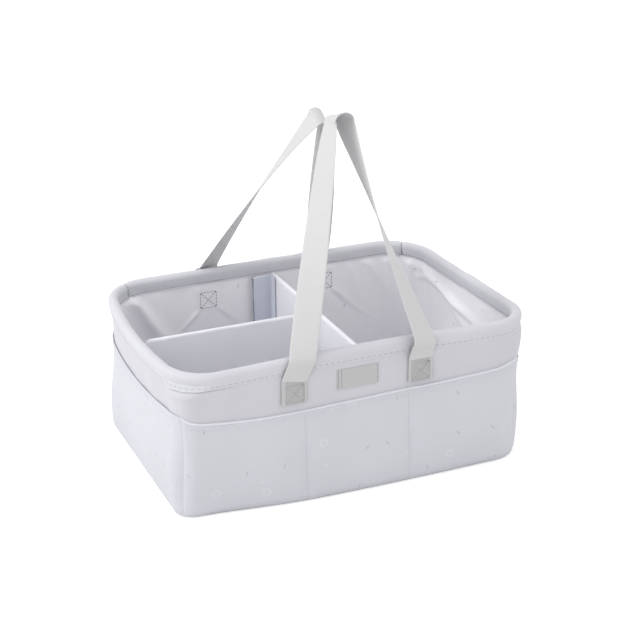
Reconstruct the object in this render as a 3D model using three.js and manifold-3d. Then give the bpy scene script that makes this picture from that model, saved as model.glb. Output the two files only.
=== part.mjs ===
// Fabric diaper caddy: an open padded basket with a rolled rim, sewn pockets on all four walls,
// two webbing carry handles and a lift-out divider held by hook-and-loop flaps.
// Millimetres, +Z up. The origin is the centre of the base and the front wall faces -Y.

import * as THREE from 'three';
import { mergeVertices } from 'three/addons/utils/BufferGeometryUtils.js';
import Module from 'manifold-3d';

const wasm = await Module();
wasm.setup();

// Basket
const RIM_LENGTH = 380; // over the rolled rim, along X
const RIM_WIDTH = 270; // over the rolled rim, along Y
const BODY_HEIGHT = 155; // table to the top of the rim
const RIM_THICKNESS = 14; // diameter of the rolled rim
const RIM_CORNER = 46; // plan radius of the wall's middle at the rim
const BASE_CORNER = 28; // plan radius of the wall's middle at the base

// Sheet thicknesses
const FABRIC = 1; // outer fabric and lining
const FOAM = 4; // wall padding
const BINDING = 1; // rim binding
const POCKET_FABRIC = 0.9;
const BASE_FABRIC = 1.2;
const BASE_BOARD = 3;

// Rim
const BINDING_DEPTH = 16.5; // rim top to the binding's lower edges
const WALL_TOP_DROP = 4; // wall tops below the middle of the roll

// Handles
const WEBBING_WIDTH = 27;
const WEBBING_THICKNESS = 1.6;
const TAB_SPREAD = 134; // between the middles of the two tabs on one wall
const TAB_DROP = 24; // rim top to the flex line above a tab
const TAB_LENGTH = 22; // sewn length of a tab
const HANDLE_RISE = 197; // rim top to the middle of the webbing at a handle's crest
const HANDLE_SPACE = 3; // between the two handles where they meet
const FRONT_CREST_SHIFT = 30; // how far the front handle's crest hangs to the right
const BACK_CREST_SHIFT = 22; // how far the back handle's crest hangs to the right
const CREST_RADIUS = 9; // bend of the webbing over the crest
const CREST_SPLAY = 15; // degrees that each leg spreads where it leaves the crest
const LEG_START_PULL = 14; // how stiffly a leg leaves the rim
const LEG_END_PULL = 10; // how stiffly a leg drops from the crest
const LEG_BOW = 5; // how far a handle's right leg, seen from outside, bows sideways
const TWIST_START = 0.1; // share of a leg that stays flat above the rim
const TWIST_EASE = 1.5; // how much of a leg's quarter turn happens low down

// Pockets
const HEM_CLEARANCE = 7; // tab bottom to the pocket hem at the stitched seams
const HEM_CORNER_RISE = 11; // hem at the corners above the hem at the seams
const SEAM_SPREAD = 110; // between the two stitched seams on the front and back
const MIDDLE_SAG = 2.5; // hem sag of a middle pocket
const OUTER_SAG = 5; // hem sag of an outer pocket
const END_SAG = 13; // hem sag of an end wall's pocket
const POCKET_GAPE = 5.4; // how far a pocket stands off its wall

// Label
const LABEL_WIDTH = 44;
const LABEL_HEIGHT = 18.5;
const LABEL_THICKNESS = 0.8;
const LABEL_DROP = 31; // rim top to the middle of the label

// Divider
const CROSS_SHIFT = 12; // cross divider off the basket's middle, along X
const LONG_SHIFT = 3; // long divider off the basket's middle, along Y
const DIVIDER_THICKNESS = 5;
const DIVIDER_BOARD = 2;
const DIVIDER_DROP = 16; // rim top to the top of the dividers
const DIVIDER_CORNER = 7; // rounded top corners of the covers
const DIVIDER_SKIN = 3; // cover's edge beyond its board
const FLAP_WIDTH = 22;
const FLAP_FABRIC = 1.2;
const FLAP_TRIM = 3; // flap's top and bottom inside the divider's
const TAPE = 1; // hook tape and loop tape
const TAPE_MARGIN = 1.5; // tape inside the flap's outline

// Clearances
const SEWN_GAP = 0.3; // between pieces that lie on each other
const FLEX_GAP = 0.3; // webbing, across a handle's flex line
const BOARD_GAP = 0.3; // round a board inside its cover
const STAND_GAP = 0.4; // divider above the lining floor
const TURN_GAP = 0.4; // rounded edge of the long divider to the cross divider

// Facets
const ARC_STEPS = 5; // half a corner
const POCKET_STEPS = 8; // across a pocket
const POCKET_ROWS = 6; // up a pocket
const ROLL_STEPS = 14; // round the rim
const LEG_STEPS = 14; // along a handle's leg
const BEND_STEPS = 4; // a handle over the rim
const CREST_STEPS = 8; // a handle over its crest
const EDGE_STEPS = 6; // rounded edges and corners

// Offsets from the middle of a wall, positive outwards
const wallFace = FOAM / 2 + SEWN_GAP + FABRIC;
const layerFace = wallFace + SEWN_GAP;
const rimInside = layerFace + BINDING;
const rollRadius = RIM_THICKNESS / 2;
const rollOffset = rollRadius - rimInside;
const rimReach = rollOffset + rollRadius;
const webbingOffset = layerFace + WEBBING_THICKNESS / 2;
const loopTapeFace = layerFace + TAPE;
const hookTapeFace = loopTapeFace + SEWN_GAP + TAPE;
const flapFace = hookTapeFace + SEWN_GAP + FLAP_FABRIC;
const dividerEnd = flapFace + SEWN_GAP;

// Middle of the walls, in plan
const halfLength = RIM_LENGTH / 2 - rimReach;
const halfWidth = RIM_WIDTH / 2 - rimReach;

// Heights
const rollHeight = BODY_HEIGHT - rollRadius;
const wallBottom = BASE_FABRIC + SEWN_GAP;
const wallTop = rollHeight - WALL_TOP_DROP;
const bindingEdge = BODY_HEIGHT - BINDING_DEPTH;
const boardTop = wallBottom + BASE_BOARD;
const floorBottom = boardTop + SEWN_GAP;
const floorTop = floorBottom + FABRIC;
const flexHeight = BODY_HEIGHT - TAB_DROP;
const tabBottom = flexHeight - TAB_LENGTH;
const seamHem = tabBottom - HEM_CLEARANCE;
const cornerHem = seamHem + HEM_CORNER_RISE;
const dividerBottom = floorTop + STAND_GAP;
const dividerTop = BODY_HEIGHT - DIVIDER_DROP;
const crestHeight = BODY_HEIGHT + HANDLE_RISE;

const upright = new THREE.Vector3(0, 0, 1);
const quarterTurn = Math.PI / 2;
const halfCorner = Math.PI / 4;

const finishes = {
  outer: { color: 0xd8d9df, roughness: 0.75, metalness: 0 },
  pocket: { color: 0xd2d3d9, roughness: 0.75, metalness: 0 },
  lining: { color: 0xc6c5cc, roughness: 0.5, metalness: 0 },
  rim: { color: 0xd5d5dc, roughness: 0.7, metalness: 0 },
  foam: { color: 0xf1f0ec, roughness: 0.95, metalness: 0 },
  board: { color: 0xb9a88c, roughness: 0.9, metalness: 0 },
  webbing: { color: 0xdedede, roughness: 0.6, metalness: 0 },
  label: { color: 0xbcbcbc, roughness: 0.7, metalness: 0 },
  divider: { color: 0xd3d5dd, roughness: 0.6, metalness: 0 },
  flap: { color: 0xbac0ce, roughness: 0.65, metalness: 0 },
  tape: { color: 0xc9ccd4, roughness: 0.9, metalness: 0 },
};

const caddy = new THREE.Group();

function addPiece(name, geometry, finish, group = caddy) {
  const material = new THREE.MeshStandardMaterial(finishes[finish]);
  const mesh = new THREE.Mesh(geometry, material);
  mesh.name = name;
  group.add(mesh);
}

// Geometry helpers

function signedVolume(position, index) {
  const corners = [new THREE.Vector3(), new THREE.Vector3(), new THREE.Vector3()];
  let volume = 0;
  for (let i = 0; i < index.count; i += 3) {
    corners.forEach((corner, k) => corner.fromBufferAttribute(position, index.getX(i + k)));
    volume += corners[0].dot(corners[1].cross(corners[2])) / 6;
  }
  return volume;
}

// Merges shared corners and turns the faces outwards.
function closedBody(geometry) {
  geometry.deleteAttribute('normal');
  geometry.deleteAttribute('uv');
  const body = mergeVertices(geometry, 1e-4);
  if (signedVolume(body.getAttribute('position'), body.index) < 0) {
    const order = Array.from(body.index.array);
    for (let i = 0; i < order.length; i += 3) {
      [order[i], order[i + 1]] = [order[i + 1], order[i]];
    }
    body.setIndex(order);
  }
  body.computeVertexNormals();
  return body;
}

function bend(geometry, place) {
  const position = geometry.getAttribute('position');
  for (let i = 0; i < position.count; i += 1) {
    const point = place(i);
    position.setXYZ(i, point.x, point.y, point.z);
  }
  return closedBody(geometry);
}

// A sheet of material: a subdivided block whose column, row and side are placed by a formula.
function sheet(columns, rows, place) {
  const block = new THREE.BoxGeometry(1, 1, 1, columns, rows, 1);
  const flat = block.getAttribute('position').clone();
  return bend(block, (i) => {
    const column = Math.round((flat.getX(i) + 0.5) * columns);
    const row = Math.round((flat.getY(i) + 0.5) * rows);
    return place(column, row, flat.getZ(i) > 0);
  });
}

// A closed ring whose station and section point are placed by a formula.
function ring(stations, points, place) {
  const torus = new THREE.TorusGeometry(1, 0.5, points, stations);
  const flat = torus.getAttribute('uv').clone();
  return bend(torus, (i) => {
    const station = Math.round(flat.getX(i) * stations) % stations;
    const point = Math.round(flat.getY(i) * points) % points;
    return place(station, point);
  });
}

function slab(low, high) {
  const size = new THREE.Vector3().subVectors(high, low);
  const block = new THREE.BoxGeometry(size.x, size.y, size.z);
  block.translate((low.x + high.x) / 2, (low.y + high.y) / 2, (low.z + high.z) / 2);
  return closedBody(block);
}

function toSolid(geometry) {
  const vertProperties = new Float32Array(geometry.getAttribute('position').array);
  const triVerts = new Uint32Array(geometry.index.array);
  return new wasm.Manifold(new wasm.Mesh({ numProp: 3, vertProperties, triVerts }));
}

function fromSolid(solid) {
  const mesh = solid.getMesh();
  const geometry = new THREE.BufferGeometry();
  geometry.setAttribute('position', new THREE.BufferAttribute(mesh.vertProperties, 3));
  geometry.setIndex(new THREE.BufferAttribute(mesh.triVerts, 1));
  geometry.computeVertexNormals();
  return geometry;
}

const cut = (body, tool) => fromSolid(toSolid(body).subtract(toSolid(tool)));
const common = (body, other) => fromSolid(toSolid(body).intersect(toSolid(other)));

// Walls in plan. A station q runs along one wall: -2 to -1 is half of the corner at its start,
// -1 to 1 is the straight run and 1 to 2 is half of the corner at its end.

const walls = {
  front: { turn: 0, half: halfWidth, run: halfLength, seam: SEAM_SPREAD / 2 },
  right: { turn: quarterTurn, half: halfLength, run: halfWidth, seam: 0 },
  back: { turn: 2 * quarterTurn, half: halfWidth, run: halfLength, seam: SEAM_SPREAD / 2 },
  left: { turn: 3 * quarterTurn, half: halfLength, run: halfWidth, seam: 0 },
};

const seamStation = 1 / 3;
const cornerRadius = (z) => BASE_CORNER + ((RIM_CORNER - BASE_CORNER) * z) / BODY_HEIGHT;
const straightHalf = (wall, z) => wall.run - cornerRadius(z);

// Distance along a wall from its middle, measured round the corners.
function along(wall, q, z) {
  const reach = Math.abs(q);
  const straight = straightHalf(wall, z);
  if (reach > 1) return Math.sign(q) * (straight + cornerRadius(z) * (reach - 1) * halfCorner);
  if (wall.seam === 0) return q * straight;
  if (reach <= seamStation) return (q / seamStation) * wall.seam;
  const share = (reach - seamStation) / (1 - seamStation);
  return Math.sign(q) * (wall.seam + (straight - wall.seam) * share);
}

function wallPoint(wall, q, z, offset) {
  const radius = cornerRadius(z);
  const angle = Math.max(Math.abs(q) - 1, 0) * halfCorner;
  const straight = straightHalf(wall, z);
  const side = Math.abs(q) > 1
    ? Math.sign(q) * (straight + (radius + offset) * Math.sin(angle))
    : along(wall, q, z);
  const depth = wall.half - radius + (radius + offset) * Math.cos(angle);
  return new THREE.Vector3(side, -depth, z).applyAxisAngle(upright, wall.turn);
}

const steps = (from, to, count) =>
  Array.from({ length: count + 1 }, (_, i) => from + ((to - from) * i) / count);

// Stations of one panel, from corner seam to corner seam.
const seamShare = SEWN_GAP / 2 / (BASE_CORNER - wallFace) / halfCorner;
const cornerEnd = 2 - seamShare;
const panelStations = [...steps(-cornerEnd, -1, ARC_STEPS), ...steps(1, cornerEnd, ARC_STEPS)];

function wallPanel(wall, inner, outer) {
  const heights = [wallBottom, wallTop];
  return sheet(panelStations.length - 1, heights.length - 1, (column, row, outside) =>
    wallPoint(wall, panelStations[column], heights[row], outside ? outer : inner));
}

for (const [side, wall] of Object.entries(walls)) {
  addPiece(`outer_panel_${side}`, wallPanel(wall, wallFace - FABRIC, wallFace), 'outer');
  addPiece(`wall_foam_${side}`, wallPanel(wall, -FOAM / 2, FOAM / 2), 'foam');
  addPiece(`lining_${side}`, wallPanel(wall, -wallFace, FABRIC - wallFace), 'lining');
}

// Base

function basePlate(offset, bottom, thickness) {
  const x = halfLength + offset;
  const y = halfWidth + offset;
  const r = cornerRadius(bottom + thickness) + offset;
  const outline = new THREE.Shape();
  outline.absarc(x - r, y - r, r, 0, quarterTurn);
  outline.absarc(r - x, y - r, r, quarterTurn, 2 * quarterTurn);
  outline.absarc(r - x, r - y, r, 2 * quarterTurn, 3 * quarterTurn);
  outline.absarc(x - r, r - y, r, 3 * quarterTurn, 4 * quarterTurn);
  const plate = new THREE.ExtrudeGeometry(outline, {
    depth: thickness,
    bevelEnabled: false,
    curveSegments: 2 * ARC_STEPS,
  });
  plate.translate(0, 0, bottom);
  return closedBody(plate);
}

addPiece('outer_base', basePlate(layerFace + POCKET_FABRIC, 0, BASE_FABRIC), 'outer');
addPiece('base_board', basePlate(-layerFace, wallBottom, BASE_BOARD), 'board');
addPiece('lining_floor', basePlate(-layerFace, floorBottom, FABRIC), 'lining');

// Rolled rim. The roll sits on the wall tops, flush with the lining and proud of the outer fabric.

// Half-turns of the roll, from where its outer side leaves the wall to its flat inner side.
function bindingProfile(radius, lip) {
  const start = -Math.acos((lip - rollOffset) / radius);
  const arc = steps(start, 2 * quarterTurn, ROLL_STEPS).map((angle) => new THREE.Vector2(
    rollOffset + radius * Math.cos(angle),
    rollHeight + radius * Math.sin(angle),
  ));
  return [new THREE.Vector2(lip, bindingEdge), ...arc, new THREE.Vector2(-lip, bindingEdge)];
}

const bindingOutside = bindingProfile(rollRadius, rimInside);
const bindingInside = bindingProfile(rollRadius - BINDING, layerFace);

function bindingLength(stations) {
  return sheet(stations.length - 1, bindingOutside.length - 1, (column, row, outside) => {
    const [wall, q] = stations[column];
    const point = (outside ? bindingOutside : bindingInside)[row];
    return wallPoint(wall, q, point.y, point.x);
  });
}

const fullStations = [...steps(-2, -1, ARC_STEPS), ...steps(1, 2, ARC_STEPS)];
const closing = (wall) => fullStations.slice(0, -1).map((q) => [wall, q]);
const frontRun = [...closing(walls.left), ...closing(walls.front), ...closing(walls.right)];
frontRun[0] = [walls.left, -cornerEnd];
frontRun.push([walls.right, cornerEnd]);
const backRun = panelStations.map((q) => [walls.back, q]);
addPiece('rim_binding_front', bindingLength(frontRun), 'rim');
addPiece('rim_binding_back', bindingLength(backRun), 'rim');

const foamRadius = rollRadius - BINDING - SEWN_GAP;
const foamFlat = Math.asin((wallTop + SEWN_GAP - rollHeight) / foamRadius);
const foamProfile = steps(foamFlat, 2 * quarterTurn - foamFlat, ROLL_STEPS).map((angle) =>
  new THREE.Vector2(
    rollOffset + foamRadius * Math.cos(angle),
    rollHeight + foamRadius * Math.sin(angle),
  ));
const rimStations = Object.values(walls).flatMap(closing);
const rimFoam = ring(rimStations.length, foamProfile.length, (station, corner) => {
  const [wall, q] = rimStations[station];
  return wallPoint(wall, q, foamProfile[corner].y, foamProfile[corner].x);
});
addPiece('rim_foam', rimFoam, 'foam');

// Pockets. Each panel is sewn to its wall along the base, the corners and any stitched seam,
// stands off the wall between them and sags along its hem.

const pocketEdges = (wall) =>
  (wall.seam === 0 ? [-cornerEnd, cornerEnd] : [-cornerEnd, -seamStation, seamStation, cornerEnd]);

// Shares of the width: 0 at one sewn edge of a pocket and 1 at the other.
function pocketShare(wall, q, z) {
  const edges = pocketEdges(wall);
  const pocket = Math.max(1, edges.findIndex((edge) => q <= edge));
  const from = along(wall, edges[pocket - 1], z);
  const to = along(wall, edges[pocket], z);
  return { pocket, share: (along(wall, q, z) - from) / (to - from), count: edges.length - 1 };
}

function hemHeight(wall, q) {
  const { pocket, share, count } = pocketShare(wall, q, seamHem);
  const curve = 4 * share * (1 - share);
  if (count === 1) return cornerHem - END_SAG * curve;
  if (pocket === 2) return seamHem - MIDDLE_SAG * curve;
  const fromSeam = pocket === 1 ? 1 - share : share;
  return seamHem + HEM_CORNER_RISE * fromSeam - OUTER_SAG * curve;
}

function standOff(wall, q, z, rise) {
  const { share } = pocketShare(wall, q, z);
  const across = 1 - Math.abs(2 * share - 1) ** 6;
  const up = 1 - (1 - rise) ** 4;
  return POCKET_GAPE * across * up;
}

function pocketStations(wall) {
  const half = POCKET_STEPS / 2;
  const inner = wall.seam === 0 ? 0 : seamStation;
  const middle = wall.seam === 0 ? [] : steps(-inner, inner, POCKET_STEPS).slice(1, -1);
  const end = [...steps(inner, 1, half), ...steps(1, cornerEnd, ARC_STEPS).slice(1)];
  const start = end.map((q) => -q).reverse();
  return [...(inner === 0 ? start.slice(0, -1) : start), ...middle, ...end];
}

function pocketPanel(wall) {
  const stations = pocketStations(wall);
  return sheet(stations.length - 1, POCKET_ROWS, (column, row, outside) => {
    const q = stations[column];
    const rise = row / POCKET_ROWS;
    const z = wallBottom + (hemHeight(wall, q) - wallBottom) * rise;
    const offset = layerFace + standOff(wall, q, z, rise) + (outside ? POCKET_FABRIC : 0);
    return wallPoint(wall, q, z, offset);
  });
}

for (const [side, wall] of Object.entries(walls)) {
  addPiece(`pocket_panel_${side}`, pocketPanel(wall), 'pocket');
}

// Label and handle tabs on the band between the pocket hem and the rim

const wallOut = halfWidth + layerFace;
const labelHeight = BODY_HEIGHT - LABEL_DROP;
addPiece('label_patch', slab(
  new THREE.Vector3(-LABEL_WIDTH / 2, -wallOut - LABEL_THICKNESS, labelHeight - LABEL_HEIGHT / 2),
  new THREE.Vector3(LABEL_WIDTH / 2, -wallOut, labelHeight + LABEL_HEIGHT / 2),
), 'label');

function handleTab(x, turned) {
  const group = new THREE.Group();
  group.rotation.z = turned ? Math.PI : 0;
  const tab = slab(
    new THREE.Vector3(x - WEBBING_WIDTH / 2, -wallOut - WEBBING_THICKNESS, tabBottom),
    new THREE.Vector3(x + WEBBING_WIDTH / 2, -wallOut, flexHeight - FLEX_GAP / 2),
  );
  caddy.add(group);
  return { tab, group };
}

const tabPlaces = [
  ['front_left_tab', -1, false],
  ['front_right_tab', 1, false],
  ['back_left_tab', 1, true],
  ['back_right_tab', -1, true],
];
for (const [name, hand, turned] of tabPlaces) {
  const { tab, group } = handleTab((hand * TAB_SPREAD) / 2, turned);
  addPiece(name, tab, 'webbing', group);
}

// Handles. A length of webbing slants up from one tab over the rim, twists a quarter turn along
// its leg, turns over the crest and comes down the same way to the other tab.

class BowedLeg extends THREE.CubicBezierCurve3 {
  constructor(bow, ...points) {
    super(...points);
    this.bow = bow;
  }

  getPoint(share, target) {
    const point = super.getPoint(share, target);
    point.x += this.bow * Math.sin(Math.PI * share) ** 2;
    return point;
  }
}

// One leg, from the tab to the crest: each place has the webbing's course and its twist about
// the upright.
function handleLeg(hand, crestX) {
  const tabX = (hand * TAB_SPREAD) / 2;
  const crestY = (WEBBING_WIDTH + HANDLE_SPACE) / 2;
  const bendRadius = rollRadius + SEWN_GAP + WEBBING_THICKNESS / 2;
  const centre = new THREE.Vector2(halfWidth + rollOffset, rollHeight);
  const root = new THREE.Vector2(halfWidth + webbingOffset, flexHeight + FLEX_GAP / 2);
  const splay = THREE.MathUtils.degToRad(CREST_SPLAY);
  const end = new THREE.Vector3(
    crestX + hand * CREST_RADIUS * Math.cos(splay),
    -crestY,
    crestHeight - CREST_RADIUS + CREST_RADIUS * Math.sin(splay),
  );
  const top = new THREE.Vector2(crestY, end.z);
  const below = root.clone().sub(centre);
  const above = top.clone().sub(centre);
  const touch = Math.atan2(below.y, below.x) + Math.acos(bendRadius / below.length());
  const leave = Math.atan2(above.y, above.x) - Math.acos(bendRadius / above.length());
  const bends = steps(touch, leave, BEND_STEPS);
  const side = [root, ...bends.map((angle) => new THREE.Vector2(
    centre.x + bendRadius * Math.cos(angle),
    centre.y + bendRadius * Math.sin(angle),
  ))];
  const lengths = side.map((point, i) => (i === 0 ? 0 : point.distanceTo(side[i - 1])));
  const runs = lengths.map((_, i) => lengths.slice(0, i + 1).reduce((sum, run) => sum + run));
  const overRim = runs[runs.length - 1];
  const drift = (end.x - tabX) / (overRim + side[side.length - 1].distanceTo(top));
  const overRoll = (angle) => new THREE.Vector3(0, Math.sin(angle), Math.cos(angle));
  const places = side.map((point, i) => ({
    point: new THREE.Vector3(tabX + drift * runs[i], -point.x, point.y),
    course: i === 0 ? upright : overRoll(bends[i - 1]),
    twist: 0,
  }));
  const start = places[places.length - 1].point;
  const rise = overRoll(leave).setX(drift).normalize();
  const fall = new THREE.Vector3(hand * Math.sin(splay), 0, -Math.cos(splay));
  const leg = new BowedLeg(
    hand > 0 ? LEG_BOW : 0,
    start,
    start.clone().addScaledVector(rise, LEG_START_PULL),
    end.clone().addScaledVector(fall, LEG_END_PULL),
    end,
  );
  for (const share of steps(0, 1, LEG_STEPS).slice(1)) {
    const turning = Math.max(share - TWIST_START, 0) / (1 - TWIST_START);
    const twist = quarterTurn * (1 - (1 - turning) ** TWIST_EASE);
    places.push({ point: leg.getPoint(share), course: leg.getTangent(share), twist });
  }
  return places;
}

function handleWebbing(crestX) {
  const left = handleLeg(-1, crestX);
  const right = handleLeg(1, crestX).reverse();
  const splay = THREE.MathUtils.degToRad(CREST_SPLAY);
  const crest = steps(Math.PI - splay, splay, CREST_STEPS).slice(1, -1).map((angle) => ({
    point: new THREE.Vector3(
      crestX + CREST_RADIUS * Math.cos(angle),
      left[left.length - 1].point.y,
      crestHeight - CREST_RADIUS + CREST_RADIUS * Math.sin(angle),
    ),
    course: new THREE.Vector3(Math.sin(angle), 0, -Math.cos(angle)),
    twist: quarterTurn,
  }));
  const down = right.map(({ point, course, twist }) => (
    { point, course: course.clone().negate(), twist: Math.PI - twist }
  ));
  const places = [...left, ...crest, ...down];
  return sheet(places.length - 1, 1, (column, row, outside) => {
    const { point, course, twist } = places[column];
    const across = new THREE.Vector3(Math.cos(twist), -Math.sin(twist), 0);
    across.addScaledVector(course, -across.dot(course)).normalize();
    const face = across.clone().cross(course);
    return point.clone()
      .addScaledVector(across, (row - 0.5) * WEBBING_WIDTH)
      .addScaledVector(face, (outside ? 0.5 : -0.5) * WEBBING_THICKNESS);
  });
}

addPiece('front_handle', handleWebbing(FRONT_CREST_SHIFT), 'webbing');
const backHandleGroup = new THREE.Group();
backHandleGroup.rotation.z = Math.PI;
caddy.add(backHandleGroup);
addPiece('back_handle', handleWebbing(-BACK_CREST_SHIFT), 'webbing', backHandleGroup);

// Divider insert

const halfDivider = DIVIDER_THICKNESS / 2;
const crossReach = halfWidth - dividerEnd;
const crossFace = CROSS_SHIFT - halfDivider;
const longStart = dividerEnd - halfLength;
const longEdge = crossFace - TURN_GAP - halfDivider; // middle of the long divider's rounded edge

// Side view of a divider with rounded top corners, extruded sideways by its thickness.
function uprightPlate(from, to, thickness) {
  const outline = new THREE.Shape();
  outline.moveTo(from, dividerBottom);
  outline.lineTo(to, dividerBottom);
  outline.absarc(to - DIVIDER_CORNER, dividerTop - DIVIDER_CORNER, DIVIDER_CORNER, 0, quarterTurn);
  outline.absarc(
    from + DIVIDER_CORNER,
    dividerTop - DIVIDER_CORNER,
    DIVIDER_CORNER,
    quarterTurn,
    2 * quarterTurn,
  );
  const plate = new THREE.ExtrudeGeometry(outline, {
    depth: thickness,
    bevelEnabled: false,
    curveSegments: EDGE_STEPS,
  });
  plate.translate(0, 0, -thickness / 2);
  plate.rotateX(quarterTurn);
  return closedBody(plate);
}

// The board's space is open along the cover's lower edge.
function boardSpace(from, to, margin, bottom) {
  const half = DIVIDER_BOARD / 2 + margin;
  return slab(
    new THREE.Vector3(from + DIVIDER_SKIN - margin, -half, bottom),
    new THREE.Vector3(to - DIVIDER_SKIN + margin, half, dividerTop - DIVIDER_CORNER + margin),
  );
}

function roundedEdgePlan(from, edge) {
  const outline = new THREE.Shape();
  outline.moveTo(from, -halfDivider);
  outline.absarc(edge, 0, halfDivider, -quarterTurn, quarterTurn);
  outline.lineTo(from, halfDivider);
  const plan = new THREE.ExtrudeGeometry(outline, {
    depth: dividerTop,
    bevelEnabled: false,
    curveSegments: 2 * EDGE_STEPS,
  });
  return closedBody(plan);
}

const crossGroup = new THREE.Group();
crossGroup.position.x = CROSS_SHIFT;
crossGroup.rotation.z = quarterTurn;
caddy.add(crossGroup);
const crossPlate = uprightPlate(-crossReach, crossReach, DIVIDER_THICKNESS);
const crossSpace = boardSpace(-crossReach, crossReach, BOARD_GAP, 0);
addPiece('cross_divider_cover', cut(crossPlate, crossSpace), 'divider', crossGroup);
const crossBoard = boardSpace(-crossReach, crossReach, 0, dividerBottom + BOARD_GAP);
addPiece('cross_divider_board', crossBoard, 'board', crossGroup);

const longGroup = new THREE.Group();
longGroup.position.y = LONG_SHIFT;
caddy.add(longGroup);
const longTip = longEdge + halfDivider;
const squareTip = longTip + DIVIDER_CORNER; // keeps the corner beside the cross divider square
const longPlate = common(
  uprightPlate(longStart, squareTip, DIVIDER_THICKNESS),
  roundedEdgePlan(longStart, longEdge),
);
const longSpace = boardSpace(longStart, longTip, BOARD_GAP, 0);
addPiece('long_divider_cover', cut(longPlate, longSpace), 'divider', longGroup);
const longBoard = boardSpace(longStart, longTip, 0, dividerBottom + BOARD_GAP);
addPiece('long_divider_board', longBoard, 'board', longGroup);

// Flaps. Each lies along a wall beside its divider's end, with hook tape against loop tape.
// In a flap's own frame the wall is at +Y and the flap runs from its sewn edge towards -X.

function addFlap(name, wallHalf, sewnEdge, group) {
  const low = dividerBottom + FLAP_TRIM;
  const high = dividerTop - FLAP_TRIM;
  const layer = (face, thickness, margin) => slab(
    new THREE.Vector3(sewnEdge - FLAP_WIDTH + margin, wallHalf - face, low + margin),
    new THREE.Vector3(sewnEdge - margin, wallHalf - face + thickness, high - margin),
  );
  addPiece(`${name}_flap`, layer(flapFace, FLAP_FABRIC, 0), 'flap', group);
  addPiece(`${name}_hook_tape`, layer(hookTapeFace, TAPE, TAPE_MARGIN), 'tape', group);
  addPiece(`${name}_loop_tape`, layer(loopTapeFace, TAPE, TAPE_MARGIN), 'tape', group);
}

addFlap('back', halfWidth, crossFace - SEWN_GAP, caddy);

// The front flap is the back one seen in a mirror: same side of the divider, other wall.
const frontFlapGroup = new THREE.Group();
frontFlapGroup.rotation.z = Math.PI;
caddy.add(frontFlapGroup);
addFlap('front', halfWidth, FLAP_WIDTH - crossFace + SEWN_GAP, frontFlapGroup);

// The long divider's flap turns forwards along the left wall.
const leftFlapGroup = new THREE.Group();
leftFlapGroup.rotation.z = quarterTurn;
caddy.add(leftFlapGroup);
addFlap('left', halfLength, LONG_SHIFT - halfDivider - SEWN_GAP, leftFlapGroup);

export default caddy;
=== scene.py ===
"""Looks of a padded fabric diaper caddy: rolled rim, sewn pockets, webbing handles and a lift-out divider.

Lengths are in metres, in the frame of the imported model: the origin is the middle of the base, +Z is up and
the front wall faces -Y. A place on the walls is given by a station along a wall, a height and an offset
outwards from the middle of the padded wall.
"""

import logging
import math
from collections.abc import Sequence
from dataclasses import dataclass, replace
from enum import Enum

import bpy
import numpy as np
from mathutils import Matrix, Vector


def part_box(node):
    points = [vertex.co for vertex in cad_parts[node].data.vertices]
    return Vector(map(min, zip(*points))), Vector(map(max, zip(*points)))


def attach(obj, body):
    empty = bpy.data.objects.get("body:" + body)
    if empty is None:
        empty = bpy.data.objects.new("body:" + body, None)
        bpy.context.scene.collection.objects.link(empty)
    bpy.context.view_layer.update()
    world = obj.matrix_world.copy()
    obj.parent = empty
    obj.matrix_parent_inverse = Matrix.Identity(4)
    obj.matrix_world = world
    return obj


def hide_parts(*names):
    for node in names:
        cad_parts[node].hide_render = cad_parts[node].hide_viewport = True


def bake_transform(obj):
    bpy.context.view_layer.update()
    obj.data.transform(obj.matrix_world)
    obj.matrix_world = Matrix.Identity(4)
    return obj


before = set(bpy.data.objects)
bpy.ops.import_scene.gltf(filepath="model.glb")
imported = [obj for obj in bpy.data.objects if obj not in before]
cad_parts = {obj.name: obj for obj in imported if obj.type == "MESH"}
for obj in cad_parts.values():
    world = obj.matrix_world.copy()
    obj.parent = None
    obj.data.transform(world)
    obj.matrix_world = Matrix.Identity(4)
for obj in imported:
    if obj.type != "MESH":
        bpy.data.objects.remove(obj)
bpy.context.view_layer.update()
MM = 0.001
HALF_CORNER = math.pi / 4
SHARP_EDGE = math.radians(60)
SEAM_STATION = 1 / 3
WALL_END = 2.0
UNREPEATED = 10.0
SEWN_STEPS = 12

Array = np.ndarray
Colour = tuple[float, float, float, float]
Span = tuple[float, float]
Row = tuple[Array, Array, Array]
Piece = bpy.types.Object
Socket = bpy.types.NodeSocket
Tree = bpy.types.NodeTree
Paint = bpy.types.Material
log = logging.getLogger("caddy")


class Body(str, Enum):
    """The bodies that pieces ride on."""

    BASKET = "basket"
    FRONT_HANDLE = "front_handle"
    BACK_HANDLE = "back_handle"
    CROSS_DIVIDER = "cross_divider"
    LONG_DIVIDER = "long_divider"
    BACK_FLAP = "back_flap"
    FRONT_FLAP = "front_flap"
    LEFT_FLAP = "left_flap"


class Side(Enum):
    """The walls in order round the basket, by quarter turns from the front."""

    FRONT = 0
    RIGHT = 1
    BACK = 2
    LEFT = 3

    @property
    def is_long(self) -> bool:
        """Whether this is one of the two long walls."""
        return self.value % 2 == 0

    @property
    def word(self) -> str:
        """The wall's name as the nodes spell it."""
        return self.name.lower()


def srgb(red: int, green: int, blue: int) -> Colour:
    """Linear colour of an 8-bit screen colour, by the usual power of 2.4 past a short straight start.

    Args:
        red: Red from 0 to 255.
        green: Green from 0 to 255.
        blue: Blue from 0 to 255.

    Returns:
        Linear red, green, blue and an alpha of 1.
    """
    share = np.array([red, green, blue]) / 255
    linear = np.where(share <= 0.04045, share / 12.92, ((share + 0.055) / 1.055) ** 2.4)
    return (*linear.tolist(), 1.0)


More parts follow.
